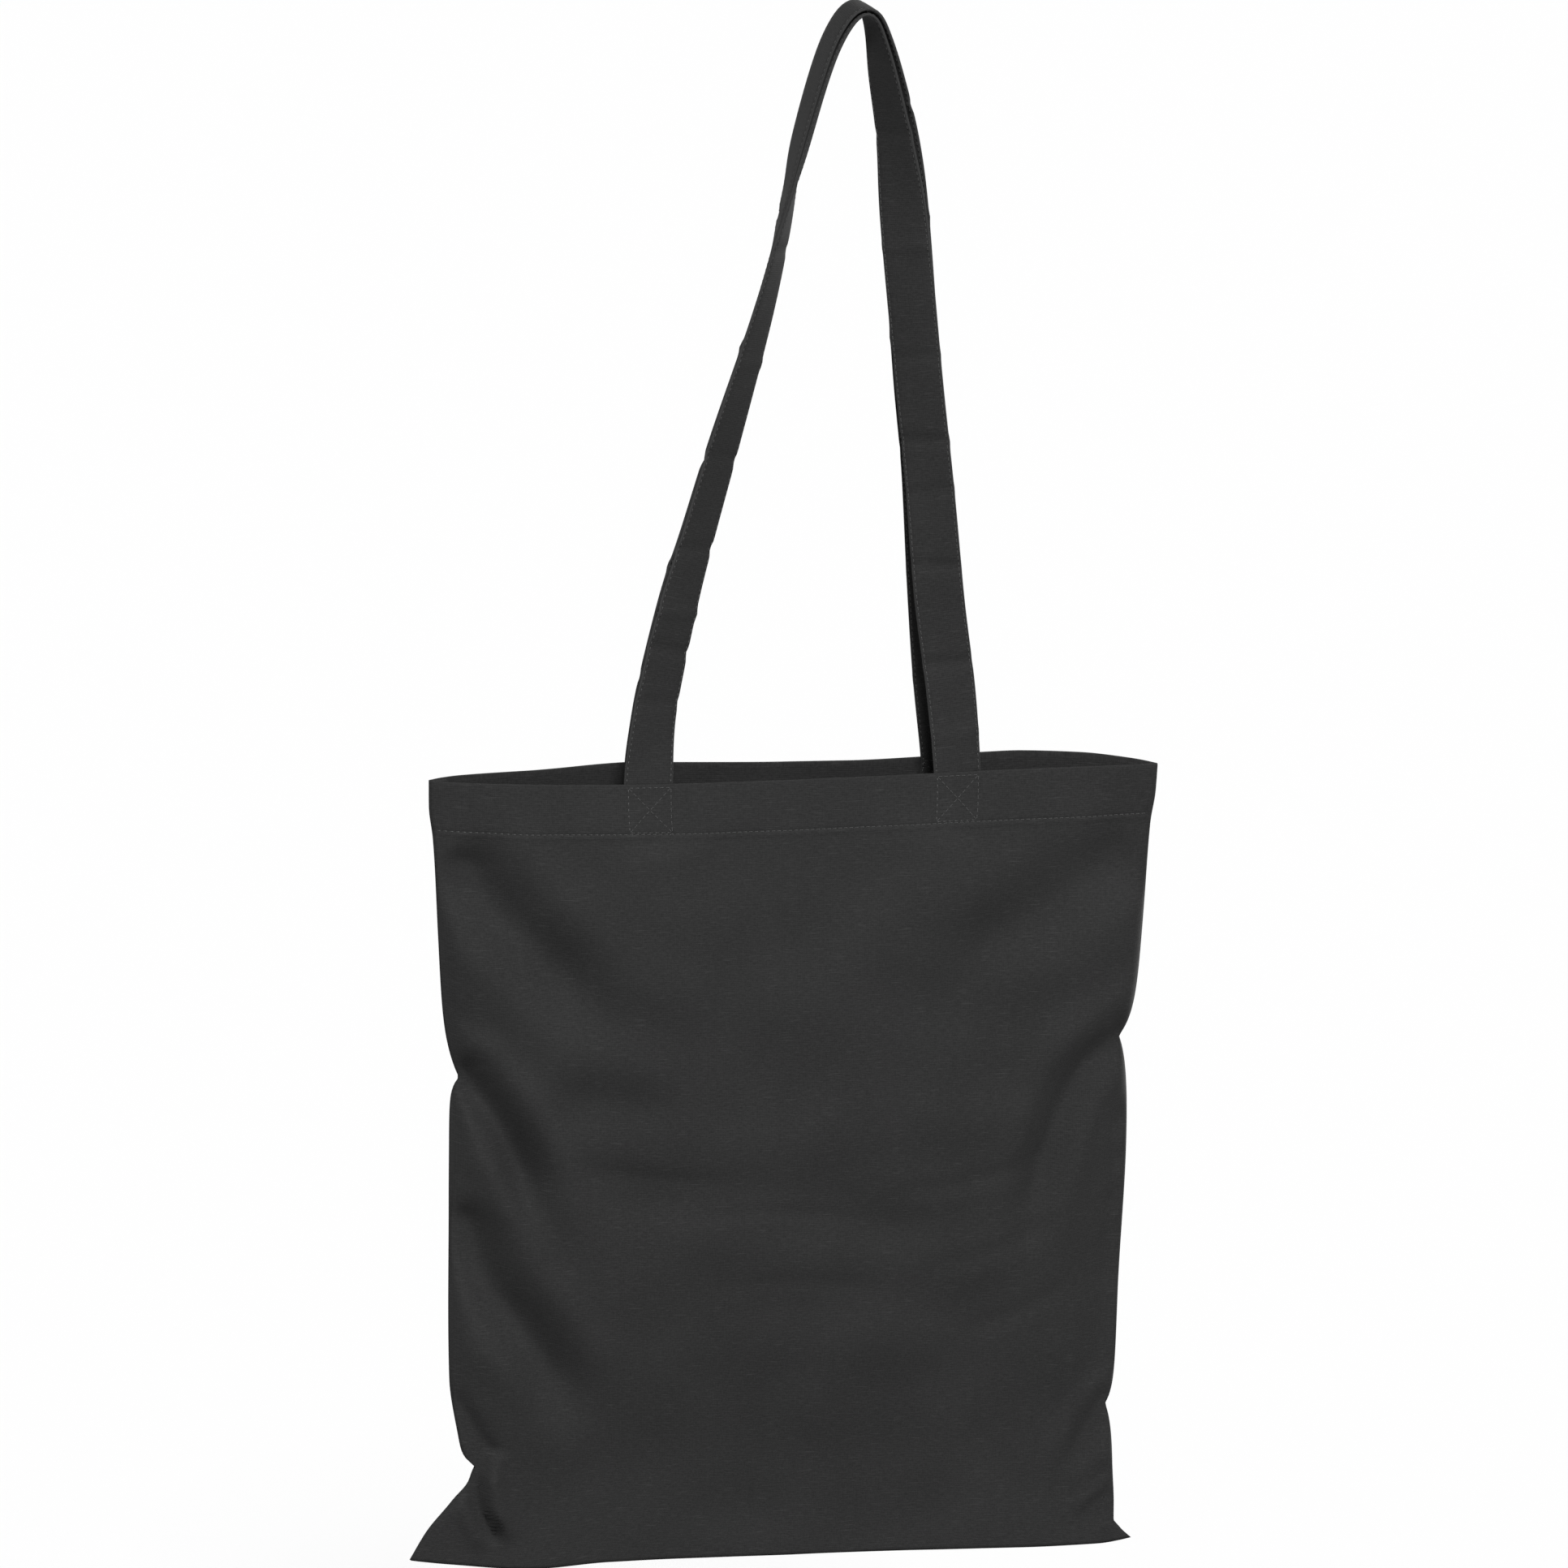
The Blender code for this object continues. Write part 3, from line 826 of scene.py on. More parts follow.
@dataclass
class StitchLine:
    """Lockstitches laid end to end, each a rounded bar of thread that dips at its ends."""

    length: float = 2.1
    width: float = 0.5
    height: float = 0.3
    sides: int = 6

    def build(self, name: str, centres: np.ndarray, alongs: np.ndarray, ups: np.ndarray,
              material: bpy.types.Material, hang: HangFrame) -> bpy.types.Object:
        """Make all stitches of a line as one piece.

        Args:
            name: The piece's name.
            centres: Middle of each stitch on the cloth, in bag millimetres.
            alongs: Unit direction of each stitch.
            ups: Unit direction away from the cloth at each stitch.
            material: The thread's finish.
            hang: Where the bag hangs.

        Returns:
            The piece.
        """
        alongs = unit(alongs)
        ups = unit(ups - alongs * np.sum(ups * alongs, axis=-1, keepdims=True))
        acrosses = np.cross(alongs, ups)
        stations = ((-0.5, -0.26, 0.55), (-0.36, 0.10, 0.9), (0.0, 0.17, 1.0),
                    (0.36, 0.10, 0.9), (0.5, -0.26, 0.55))
        angles = 2 * math.pi * np.arange(self.sides) / self.sides
        rings = []
        places = []
        for along, rise, size in stations:
            for angle in angles:
                rings.append(centres + alongs * (along * self.length) + ups * rise
                             + ups * (0.5 * self.height * size * math.sin(angle))
                             + acrosses * (0.5 * self.width * size * math.cos(angle)))
                places.append((along * self.length, self.width * angle / math.pi))
        points = np.stack(rings, axis=1).reshape(-1, 3)
        template = ring_faces(len(stations), self.sides)
        per_stitch = len(stations) * self.sides
        faces = [tuple(spot + per_stitch * number for spot in face)
                 for number in range(len(centres)) for face in template]
        flat = np.tile(np.array(places), (len(centres), 1))
        return make_piece(name, hang.world(points), faces, flat, material)


def sweep_thread(name: str, path: np.ndarray, width: float, material: bpy.types.Material,
                 hang: HangFrame, sides: int = 5) -> bpy.types.Object:
    """Sweep a round thread along a path.

    Args:
        name: The piece's name.
        path: The thread's middle line, in bag millimetres.
        width: Its thickness.
        material: Its finish.
        hang: Where the bag hangs.
        sides: How many sides its section has.

    Returns:
        The piece.
    """
    along = unit(np.gradient(path, axis=0))
    guide = np.tile(np.array(THREAD_GUIDE), (len(path), 1))
    first = unit(np.cross(along, guide))
    second = np.cross(along, first)
    angles = 2 * math.pi * np.arange(sides) / sides
    rings = [path + 0.5 * width * (first * math.cos(a) + second * math.sin(a))
             for a in angles]
    points = np.stack(rings, axis=1).reshape(-1, 3)
    run = np.concatenate(([0.0], np.cumsum(np.linalg.norm(np.diff(path, axis=0), axis=1))))
    flat = np.stack([np.repeat(run, sides), np.tile(width * angles, len(path))], axis=-1)
    return make_piece(name, hang.world(points), ring_faces(len(path), sides), flat, material)


# ---------------------------------------------------------------- panels


@dataclass
class CanvasPanel:
    """One panel of cloth: hem turned to the inside, rolled side and bottom seam edges."""

    shape: PanelShape
    hang: HangFrame
    finish: bpy.types.Material
    thread: bpy.types.Material
    spacing: float = 2.0
    thickness: float = 0.45
    hem_inset: float = 1.35
    rim_radius: float = 0.65
    hem_turn: float = 27.0
    stitch_pitch: float = 3.0
    bottom_step: float = 2.5        # flat cloth between two rows of the bottom allowance
    bottom_tuck: float = 0.996      # keeps the bottom allowance inside the side seams
    roll: tuple[tuple[float, float], ...] = ((0.3, 0.42), (1.1, 0.14), (4.5, 0.12), (9.0, 0.12))

    @property
    def word(self) -> str:
        """The panel's name in its pieces' names."""
        return self.shape.side.name.lower()

    def build(self) -> list[bpy.types.Object]:
        """Build the cloth and its hem stitching."""
        return [self._cloth(), self._hem_stitches()]

    def _columns(self) -> np.ndarray:
        """Flat places across the panel, edge to edge."""
        half = self.shape.flat_half_width
        return np.linspace(-half, half, int(round(2 * half / self.spacing)) + 1)

    def _rows(self) -> list[tuple[float, float, float, float]]:
        """Lay out the rows of cloth from the hem's turned edge, over the rim and down.

        Returns:
            Each row's flat place, depth below the rim, inset towards the inside, and lift.
        """
        radius = self.rim_radius
        rows = []
        turned = [self.hem_turn, 26.6, 25.8, 25.0, 24.2, 23.0]
        turned += list(np.arange(20.0, 1.0, -2.5))
        for down in turned:
            rows.append((-down, down, self.hem_inset, 0.0))
        for angle in np.radians((180.0, 135.0, 90.0, 45.0)):
            rows.append((-radius * angle, radius, radius * (1.0 - math.cos(angle)),
                         radius * math.sin(angle)))
        fine = [23.2, 24.2, 24.7, 25.0, 25.3, 25.8, 26.8, 27.8, 29.0]
        outer = list(np.arange(radius, 22.0, 2.2)) + fine
        outer += list(np.linspace(31.0, self.shape.flat_height,
                                  int((self.shape.flat_height - 31.0) / self.spacing) + 1))
        rows += [(down, down, 0.0, 0.0) for down in outer]
        return rows

    def _cloth(self) -> bpy.types.Object:
        """Make the panel's cloth with its thickness.

        Returns:
            The piece.
        """
        side = self.shape.side.value
        columns = self._columns()
        grid = []
        flat = []
        for place, down, inset, lift in self._rows():
            points = self.shape.place(columns, down)
            tuck = np.minimum(inset, 0.8 * np.abs(points[:, 1]))
            points[:, 1] -= side * tuck
            points[:, 2] += lift
            row, widths = self._with_side_rolls(points, columns)
            grid.append(row)
            flat.append(np.stack([widths, np.full(len(widths), -place)], axis=-1))
        base = grid[-1]
        for up, gap in self.roll:
            row = base.copy()
            row[:, 2] += up
            row[:, 1] = side * gap
            row[:, 0] *= np.where(row[:, 0] < 0.0, self._narrowing(self.shape.left_edge, up),
                                  self._narrowing(self.shape.right_edge, up))
            grid.append(row)
            flat.append(flat[-1] - np.array([0.0, self.bottom_step]))
        face = np.array(grid)
        back = face - self._outward(face) * self.thickness
        return sheet_piece(self.word + "_panel_cloth", self.hang.world(face),
                           self.hang.world(back), np.array(flat), side < 0, self.finish)

    def _narrowing(self, edge: tuple[tuple[float, float], ...], up: float) -> float:
        """How much nearer the middle one side edge is above the bottom.

        Args:
            edge: The side edge's knots.
            up: The height above the bottom edge, in millimetres.

        Returns:
            The share of the bottom edge's half width.
        """
        bottom = self.shape.hung_height
        low, high = smooth_curve(edge, np.array([-bottom, up - bottom]))
        return min(high / low, 1.0) * self.bottom_tuck

    def _outward(self, face: np.ndarray) -> np.ndarray:
        """Find the directions that look out of the bag.

        Args:
            face: The outer face's grid of points.

        Returns:
            A unit direction for each point.
        """
        normal = unit(np.cross(np.gradient(face, axis=0), np.gradient(face, axis=1)))
        middle = normal[len(face) // 2, face.shape[1] // 2, 1]
        return normal if middle * self.shape.side.value > 0 else -normal

    def _with_side_rolls(self, points: np.ndarray,
                         columns: np.ndarray) -> tuple[np.ndarray, np.ndarray]:
        """Add the rolled edge and the seam allowance at both ends of a row.

        Args:
            points: The row's points, in bag millimetres.
            columns: Their flat places across the panel.

        Returns:
            The longer row's points and flat places.
        """
        side = self.shape.side.value
        left = []
        right = []
        for inward, gap in self.roll:
            for ends, spot, way in ((left, points[0], 1.0), (right, points[-1], -1.0)):
                ends.append((spot[0] + way * inward, side * gap, spot[2]))
        row = np.vstack([left[::-1], points, right])
        reach = np.array([inward for inward, _gap in self.roll])
        widths = np.concatenate([columns[0] - reach[::-1], columns, columns[-1] + reach])
        return row, widths

    def sample(self, across: np.ndarray, down: np.ndarray) -> tuple[np.ndarray, ...]:
        """Sample the panel's outer face.

        Args:
            across: Flat distances from the panel's middle, in millimetres.
            down: Flat distances from the rim.

        Returns:
            The points, and unit directions across, down and outwards.
        """
        here = self.shape.place(across, down)
        step_across = unit(self.shape.place(np.asarray(across) + 0.5, down)
                           - self.shape.place(np.asarray(across) - 0.5, down))
        step_down = unit(self.shape.place(across, np.asarray(down) + 0.5)
                         - self.shape.place(across, np.asarray(down) - 0.5))
        outward = unit(np.cross(step_across, step_down))
        outward = np.where(outward[..., 1:2] * self.shape.side.value > 0, outward, -outward)
        return here, step_across, step_down, outward

    def _hem_stitches(self) -> bpy.types.Object:
        """Sew the line of stitching along the hem, on both faces of the cloth.

        Returns:
            The piece.
        """
        half = self.shape.flat_half_width - 3.0
        across = np.arange(-half, half, self.stitch_pitch)
        down = np.full(len(across), self.shape.stitch_height)
        here, along, _down, outward = self.sample(across, down)
        inner = here - outward * (self.hem_inset + 0.05)
        room = np.abs(here[:, 1]) > 2.5
        return StitchLine().build(
            self.word + "_hem_stitching", np.vstack([here, inner[room]]),
            np.vstack([along, along[room]]), np.vstack([outward, -outward[room]]),
            self.thread, self.hang)


# ---------------------------------------------------------------- handles


@dataclass(frozen=True)
class StrapCrease:
    """A crease across a strap: where along it, how high it stands, and its slant."""

    place: float
    rise: float
    slant: float
    width: float = 2.7

    def lift(self, run: np.ndarray, across: np.ndarray) -> np.ndarray:
        """How far the crease lifts the strap along its front face's direction."""
        return self.rise * np.exp(-((run - self.place - self.slant * across) / self.width) ** 2)


@dataclass
class FoldedStrap:
    """A handle: a strip folded to four layers, edge-stitched, and sewn behind the hem.

    The route gives x, height above the rim, and how far the strap has turned its front face
    towards the inside of the loop, in degrees.
    """

    panel: CanvasPanel
    route: tuple[tuple[float, float, float], ...]
    finish: bpy.types.Material
    thread: bpy.types.Material
    creases: tuple[StrapCrease, ...] = ()
    width: float = 25.0
    thickness: float = 1.5
    step: float = 2.5
    stitch_inset: float = 1.3
    stitch_pitch: float = 3.0
    sewn_depth: float = 24.5
    lap: float = 0.12
    box_width: float = 22.0
    box_top: float = 1.7
    box_bottom_gap: float = 0.9     # the box ends this far above the hem's stitching
    smoothing_rounds: int = 6
    top: float = field(init=False)
    points: np.ndarray = field(init=False)
    across: np.ndarray = field(init=False)
    facing: np.ndarray = field(init=False)
    along: np.ndarray = field(init=False)
    run: np.ndarray = field(init=False)

    def build(self) -> list[bpy.types.Object]:
        """Build the strap and its edge stitching."""
        self.top = max(knot[1] for knot in self.route)
        self._lay_route()
        return [self._strap(), self._edge_stitches()]

    def build_ends(self) -> list[bpy.types.Object]:
        """Build the box-and-cross sewing of both ends."""
        return [self._box_stitches(word, knot[0])
                for word, knot in (("left", self.route[0]), ("right", self.route[-1]))]

    def _inset(self) -> float:
        """From the panel's outer face to the middle of a sewn strap end."""
        return self.panel.hem_inset + self.lap + 0.5 * self.thickness

    def _end_y(self, x: float, height: float) -> float:
        """Find the middle of the sewn strap's thickness.

        Args:
            x: The place across the bag, in millimetres.
            height: The height above the rim.

        Returns:
            The strap's y, in bag millimetres.
        """
        shape = self.panel.shape
        here = shape.place(np.array([shape.flat_across(x)]),
                           np.array([max(-height, 0.0)]))[0]
        return here[1] - shape.side.value * self._inset()

    def _end_yaw(self, x: float) -> float:
        """How far the hem turns from the X axis at a sewn end."""
        reach = 0.4 * self.width
        return math.atan2(self._end_y(x + reach, -8.0) - self._end_y(x - reach, -8.0),
                          2 * reach)

    def _lay_route(self) -> None:
        """Work out the strap's middle line and its directions every few millimetres."""
        left, right = self.route[0], self.route[-1]
        knots = [(left[0], -self.sewn_depth, 0.0), (left[0], -12.0, 0.0)]
        knots += list(self.route)
        knots += [(right[0], -12.0, 0.0), (right[0], -self.sewn_depth, 0.0)]
        curve = rounded_route(knots, 12)
        middle = int(np.argmax(curve[:, 1]))
        lean_left, lean_right = self._end_y(left[0], 0.0), self._end_y(right[0], 0.0)
        rows = []
        for number, (x, height, turn) in enumerate(curve):
            end_x, end_y = (left[0], lean_left) if number <= middle else (right[0], lean_right)
            y = (self._end_y(end_x, height) if height < 0.0
                 else end_y * max(1.0 - height / self.top, 0.0))
            rows.append((x, y, height, turn))
        rows = np.array(rows)
        length = np.concatenate(([0.0], np.cumsum(
            np.linalg.norm(np.diff(rows[:, :3], axis=0), axis=1))))
        self.run = np.linspace(0.0, length[-1], int(length[-1] / self.step) + 1)
        laid = np.stack([np.interp(self.run, length, rows[:, k]) for k in range(4)], axis=-1)
        laid = self._relaxed(laid)
        self.points = laid[:, :3]
        self.along = unit(np.gradient(self.points, axis=0))
        self._turn(np.radians(laid[:, 3]), left[0], right[0])

    def _relaxed(self, rows: np.ndarray) -> np.ndarray:
        """Even out the route, but not where it is sewn down.

        Args:
            rows: The route's x, y, height and turn.

        Returns:
            The evened rows.
        """
        for _ in range(self.smoothing_rounds):
            mean = rows.copy()
            mean[1:-1] = 0.25 * rows[:-2] + 0.5 * rows[1:-1] + 0.25 * rows[2:]
            free = smooth_step(0.0, 12.0, rows[:, 2])[:, None]
            rows = rows * (1.0 - free) + mean * free
        return rows

    def _turn(self, turn: np.ndarray, left_x: float, right_x: float) -> None:
        """Set the direction across the strap and the one its front face looks.

        Args:
            turn: How far the strap has turned at each point, in radians.
            left_x: Where its left end is sewn, in bag millimetres.
            right_x: Where its right end is sewn.
        """
        inwards = unit(np.stack([self.along[:, 2], np.zeros(len(turn)),
                                 -self.along[:, 0]], axis=-1))
        sewn = 1.0 - smooth_step(0.0, 45.0, self.points[:, 2])
        first_half = np.arange(len(turn)) < len(turn) // 2
        yaw = np.where(first_half, self._end_yaw(left_x), self._end_yaw(right_x)) * sewn
        forwards = np.stack([np.sin(yaw), -np.cos(yaw), np.zeros(len(turn))], axis=-1)
        face = forwards * np.cos(turn)[:, None] + inwards * np.sin(turn)[:, None]
        face = face - self.along * np.sum(face * self.along, axis=1, keepdims=True)
        self.facing = unit(face)
        self.across = np.cross(self.along, self.facing)

    def _creased(self, run: np.ndarray, across: np.ndarray) -> np.ndarray:
        """The lift of all creases at places along and across the strap."""
        return sum(crease.lift(run, across) for crease in self.creases)

    def _profile(self) -> np.ndarray:
        """Lay out the strap's cross-section.

        Returns:
            Each point's place across, out of the front face, and on the flat cloth.
        """
        half = 0.5 * self.width
        edge = 0.5 * self.thickness
        stitch = half - self.stitch_inset
        spots = [(-half + 0.6, 0.0), (-stitch - 0.45, 0.02), (-stitch, -0.22),
                 (-stitch + 0.6, 0.0), (-stitch + 2.5, 0.1), (-5.0, 0.14), (0.0, 0.12)]
        spots += [(-a, rise) for a, rise in spots[-2::-1]]
        front = [(a, edge + rise, a) for a, rise in spots]
        right = [(half - 0.1, 0.5 * edge, half), (half, 0.0, half + 0.3),
                 (half - 0.1, -0.5 * edge, half + 0.6)]
        back = [(a, -edge - rise, a) for a, rise in spots[::-1]]
        left = [(-a, -rise, -flat) for a, rise, flat in right]
        return np.array(front + right + back + left)

    def _strap(self) -> bpy.types.Object:
        """Make the folded cloth.

        Returns:
            The piece.
        """
        profile = self._profile()
        rings = (self.points[:, None] + self.across[:, None] * profile[None, :, 0:1]
                 + self.facing[:, None] * profile[None, :, 1:2])
        rings += self.facing[:, None] * self._creased(
            self.run[:, None], profile[None, :, 0])[..., None]
        count, around = rings.shape[:2]
        flat = np.stack([np.tile(profile[:, 2], (count, 1)),
                         np.tile(self.run[:, None], (1, around))], axis=-1)
        word = self.panel.word
        faces = [face[::-1] for face in ring_faces(count, around)]
        return make_piece(word + "_handle_strap", self.panel.hang.world(
            rings.reshape(-1, 3)), faces, flat.reshape(-1, 2), self.finish)

    def _edge_stitches(self) -> bpy.types.Object:
        """Sew along both edges, on both faces.

        Returns:
            The piece.
        """
        places = np.arange(2.0, self.run[-1] - 1.0, self.stitch_pitch)
        centres, alongs, ups = [], [], []
        for edge in (-1.0, 1.0):
            for face in Face:
                point = self._at(places, self.points)
                across = unit(self._at(places, self.across))
                up = unit(self._at(places, self.facing)) * face.value
                aside = edge * (0.5 * self.width - self.stitch_inset)
                lift = self._creased(places, np.full(len(places), aside))
                centres.append(point + across * aside + up * (0.5 * self.thickness - 0.16)
                               + up * (face.value * lift)[:, None])
                alongs.append(unit(self._at(places, self.along)))
                ups.append(up)
        return StitchLine().build(
            self.panel.word + "_handle_stitching", np.vstack(centres), np.vstack(alongs),
            np.vstack(ups), self.thread, self.panel.hang)

    def _at(self, places: np.ndarray, values: np.ndarray) -> np.ndarray:
        """Read values of the strap at distances along it."""
        return np.stack([np.interp(places, self.run, values[:, k]) for k in range(3)], axis=-1)

    def _box_stitches(self, word: str, middle_x: float) -> bpy.types.Object:
        """Sew a square with a cross in it, through the hem and the strap end.

        Args:
            word: Which end it is, for the piece's name.
            middle_x: The middle of the strap end, in bag millimetres.

        Returns:
            The piece.
        """
        shape = self.panel.shape
        middle = shape.flat_across(middle_x)
        half = 0.5 * self.box_width
        top, low = self.box_top, shape.stitch_height - self.box_bottom_gap
        corners = [(middle - half, top), (middle + half, top),
                   (middle + half, low), (middle - half, low)]
        lines = [(corners[k], corners[(k + 1) % 4]) for k in range(4)]
        lines += [(corners[0], corners[2]), (corners[1], corners[3])]
        spots, ways = [], []
        for start, end in lines:
            run = np.array(end) - np.array(start)
            count = max(int(round(np.linalg.norm(run) / self.stitch_pitch)), 1)
            for number in range(count):
                spots.append(np.array(start) + run * (number + 0.5) / count)
                ways.append(run / np.linalg.norm(run))
        spots, ways = np.array(spots), np.array(ways)
        here, across, down, outward = self.panel.sample(spots[:, 0], spots[:, 1])
        along = across * ways[:, 0:1] + down * ways[:, 1:2]
        inner = here - outward * (self._inset() + 0.5 * self.thickness + 0.1)
        return StitchLine().build(
            f"{self.panel.word}_box_stitching_{word}", np.vstack([here, inner]),
            np.vstack([along, along]), np.vstack([outward, -outward]),
            self.thread, self.panel.hang)


# Each knot: x, height above the rim, and how far the strap has turned, in degrees.
FRONT_ROUTE = (
    (-80, 2.8, 0), (-79, 21, 12), (-76.3, 42, 18), (-66.6, 88, 25), (-58, 119.5, 33),
    (-45, 166.5, 38), (-26.4, 232, 50), (-15.6, 275, 62), (-10.9, 296, 71), (-6, 317, 80),
    (2.8, 351, 84), (9.8, 372, 87), (18.5, 386.5, 90), (25.7, 386.5, 86), (30.4, 373, 80),
    (34.6, 353, 68), (41.8, 318, 56), (48, 273, 30), (57, 199, 30), (63.6, 149, 28),
    (70.6, 88, 13), (77.7, 42, 4), (82, 2.8, 0))
BACK_ROUTE = (
    (-70, 2.8, 0), (-69.3, 21, 13), (-67, 42, 20), (-58.7, 88, 28), (-50.9, 119.5, 35),
    (-39.2, 166.5, 41), (-23.3, 232, 60), (-15.9, 275, 76), (-11.5, 296, 81), (-8, 317, 87),
    (0.4, 352, 90), (7.8, 374.8, 90), (17.3, 389.0, 90), (27.2, 389.0, 88), (33.3, 375.2, 82),
    (38.5, 354, 70), (46, 319, 56), (51, 273, 34), (59.5, 199, 30), (66.3, 149, 28),
    (72.4, 88, 15), (77.3, 42, 4), (83, 2.8, 0))
FRONT_CREASE_MARKS = (
    StrapCrease(66, -0.8, 0.10), StrapCrease(93, -1.3, -0.06), StrapCrease(112, 1, 0.05),
    StrapCrease(145, -1.1, 0.12), StrapCrease(193, -0.8, -0.08), StrapCrease(241, 0.6, 0.1),
    StrapCrease(300, -0.6, 0.0), StrapCrease(498, -0.6, 0.06), StrapCrease(556, 0.8, -0.05),
    StrapCrease(612, -0.8, 0.04), StrapCrease(655, -1.2, -0.10), StrapCrease(681, -0.8, 0.05),
    StrapCrease(719, -1.3, -0.12), StrapCrease(769, -1.3, -0.07), StrapCrease(806, 0.6, 0.05))
BACK_CREASE_MARKS = (
    StrapCrease(72, 0.8, 0.08), StrapCrease(128, -0.8, -0.06), StrapCrease(186, 1, 0.05),
    StrapCrease(247, -0.8, 0.1), StrapCrease(312, 0.6, 0.0), StrapCrease(488, 0.8, -0.06),
    StrapCrease(549, -1, 0.07), StrapCrease(611, 1, -0.05), StrapCrease(668, -0.8, 0.05),
    StrapCrease(733, 1, -0.1), StrapCrease(786, -0.8, 0.06))


# ---------------------------------------------------------------- inside seams


@dataclass
class OverlockedSeam:
    """Thread loops that bind the raw edges of a seam inside the bag."""

    hang: HangFrame
    thread: bpy.types.Material
    pitch: float = 3.2
    inner: float = 9.6
    outer: float = 4.2
    rise: float = 0.95
    thread_width: float = 0.42

    def along_edge(self, name: str, edge: np.ndarray, inwards: np.ndarray) -> bpy.types.Object:
        """Wind the loops along an edge line.

        Args:
            name: The piece's name.
            edge: The seam's outer edge, in bag millimetres.
            inwards: Unit direction into the bag at each point of the edge.

        Returns:
            The piece.
        """
        run = np.concatenate(([0.0], np.cumsum(np.linalg.norm(np.diff(edge, axis=0), axis=1))))
        loops = int(run[-1] / self.pitch)
        turn = np.linspace(0.0, loops, loops * 8 + 1)
        place = turn * self.pitch
        here = np.stack([np.interp(place, run, edge[:, k]) for k in range(3)], axis=-1)
        way = np.stack([np.interp(place, run, inwards[:, k]) for k in range(3)], axis=-1)
        angle = 2 * math.pi * turn
        reach = 0.5 * (self.inner + self.outer) + 0.5 * (self.inner - self.outer) * np.cos(angle)
        path = here + unit(way) * reach[:, None]
        path[:, 1] += self.rise * np.tanh(2.2 * np.sin(angle))
        return sweep_thread(name, path, self.thread_width, self.thread, self.hang)


# ---------------------------------------------------------------- studio


@dataclass
class Studio:
    """A pale floor, soft light and the camera."""

    middle: Vector
    distance: float = 20.0
    azimuth: float = -15.0
    elevation: float = 12.0
    roll: float = 1.8
    view_width: float = 0.7829
    sensor: float = 36.0
    floor_z: float = -1.08
    floor_reach: float = 60.0
    fill_strength: float = 0.28
    lens_reach: float = 200.0

    def build(self) -> None:
        """Set up the floor, the lights, the world and the camera."""
        self._floor()
        self._camera()
        self._sun("key", place=(-0.10, -0.72, 0.66), strength=3.05, softness=14.0)
        self._sun("back", place=(0.62, 0.70, 0.30), strength=1.5, softness=30.0)
        self._world()
        bpy.context.scene.view_settings.view_transform = "Standard"

    def _world(self) -> None:
        """Weak even light all round, in front of a backdrop as white as the floor."""
        world = bpy.data.worlds.new("studio_world")
        world.use_nodes = True
        tree = world.node_tree
        fill = tree.nodes["Background"]
        fill.inputs["Color"].default_value = (1, 1, 1, 1)
        fill.inputs["Strength"].default_value = self.fill_strength
        backdrop = add_node(world, "ShaderNodeBackground",
                            values={"Color": (1, 1, 1, 1), "Strength": 1.0})
        seen = add_node(world, "ShaderNodeLightPath")
        mixed = add_node(world, "ShaderNodeMixShader",
                         {0: seen.outputs["Is Camera Ray"], 1: fill.outputs[0],
                          2: backdrop.outputs[0]})
        tree.links.new(mixed.outputs[0], tree.nodes["World Output"].inputs["Surface"])
        bpy.context.scene.world = world

    def _floor(self) -> None:
        """A wide pale floor below the hanging bag."""
        reach = self.floor_reach
        points = [(x, y, self.floor_z) for y in (-reach, reach) for x in (-reach, reach)]
        floor = make_piece("floor", np.array(points), [(0, 1, 3, 2)],
                           np.zeros((4, 2)), PaintedPaper().material())
        floor.visible_diffuse = False       # no glare from below on the cloth

    def _sun(self, name: str, place: tuple[float, float, float], strength: float,
             softness: float) -> None:
        """Add one soft, even light.

        Args:
            name: The light's name.
            place: The direction it comes from.
            strength: Its strength, in watts a square metre.
            softness: How wide it looks from the bag, in degrees.
        """
        lamp = bpy.data.lights.new(name + "_light", "SUN")
        lamp.energy = strength
        lamp.angle = math.radians(softness)
        sun = bpy.data.objects.new(name + "_light", lamp)
        sun.location = self.middle + Vector(place) * 4.0
        sun.rotation_euler = (-Vector(place)).to_track_quat("-Z", "Y").to_euler()
        bpy.context.scene.collection.objects.link(sun)

    def _camera(self) -> None:
        """A long lens, a little above and to the left, held slightly askew."""
        azimuth, elevation, roll = map(math.radians,
                                       (self.azimuth, self.elevation, self.roll))
        back = Vector((math.sin(azimuth) * math.cos(elevation),
                       -math.cos(azimuth) * math.cos(elevation), math.sin(elevation)))
        right = Vector((0, 0, 1)).cross(back).normalized()
        up = back.cross(right)
        tilted_right = right * math.cos(roll) + up * math.sin(roll)
        tilted_up = up * math.cos(roll) - right * math.sin(roll)
        pose = Matrix((tilted_right, tilted_up, back)).transposed().to_4x4()
        pose.translation = self.middle + back * self.distance
        lens = bpy.data.cameras.new("camera")
        lens.sensor_width = self.sensor
        lens.lens = self.sensor * self.distance / self.view_width
        lens.clip_end = self.lens_reach
        camera = bpy.data.objects.new("camera", lens)
        camera.matrix_world = pose
        bpy.context.scene.collection.objects.link(camera)
        bpy.context.scene.camera = camera


# ---------------------------------------------------------------- the whole bag


# How far the rim stands above its ends, as (x, lift) knots.
FRONT_RIM_LIFT = ((-188, 0), (0, 0), (188, 0))
BACK_RIM_LIFT = ((-188, 0.3), (-170, 1.0), (-134, 0.8), (-80, 2.5), (-56, 1.5), (0, 0),
                 (34, 0), (71, 1.5), (104, 4.0), (122, 4.8), (150, 4.3), (175, 2.0), (188, 0))


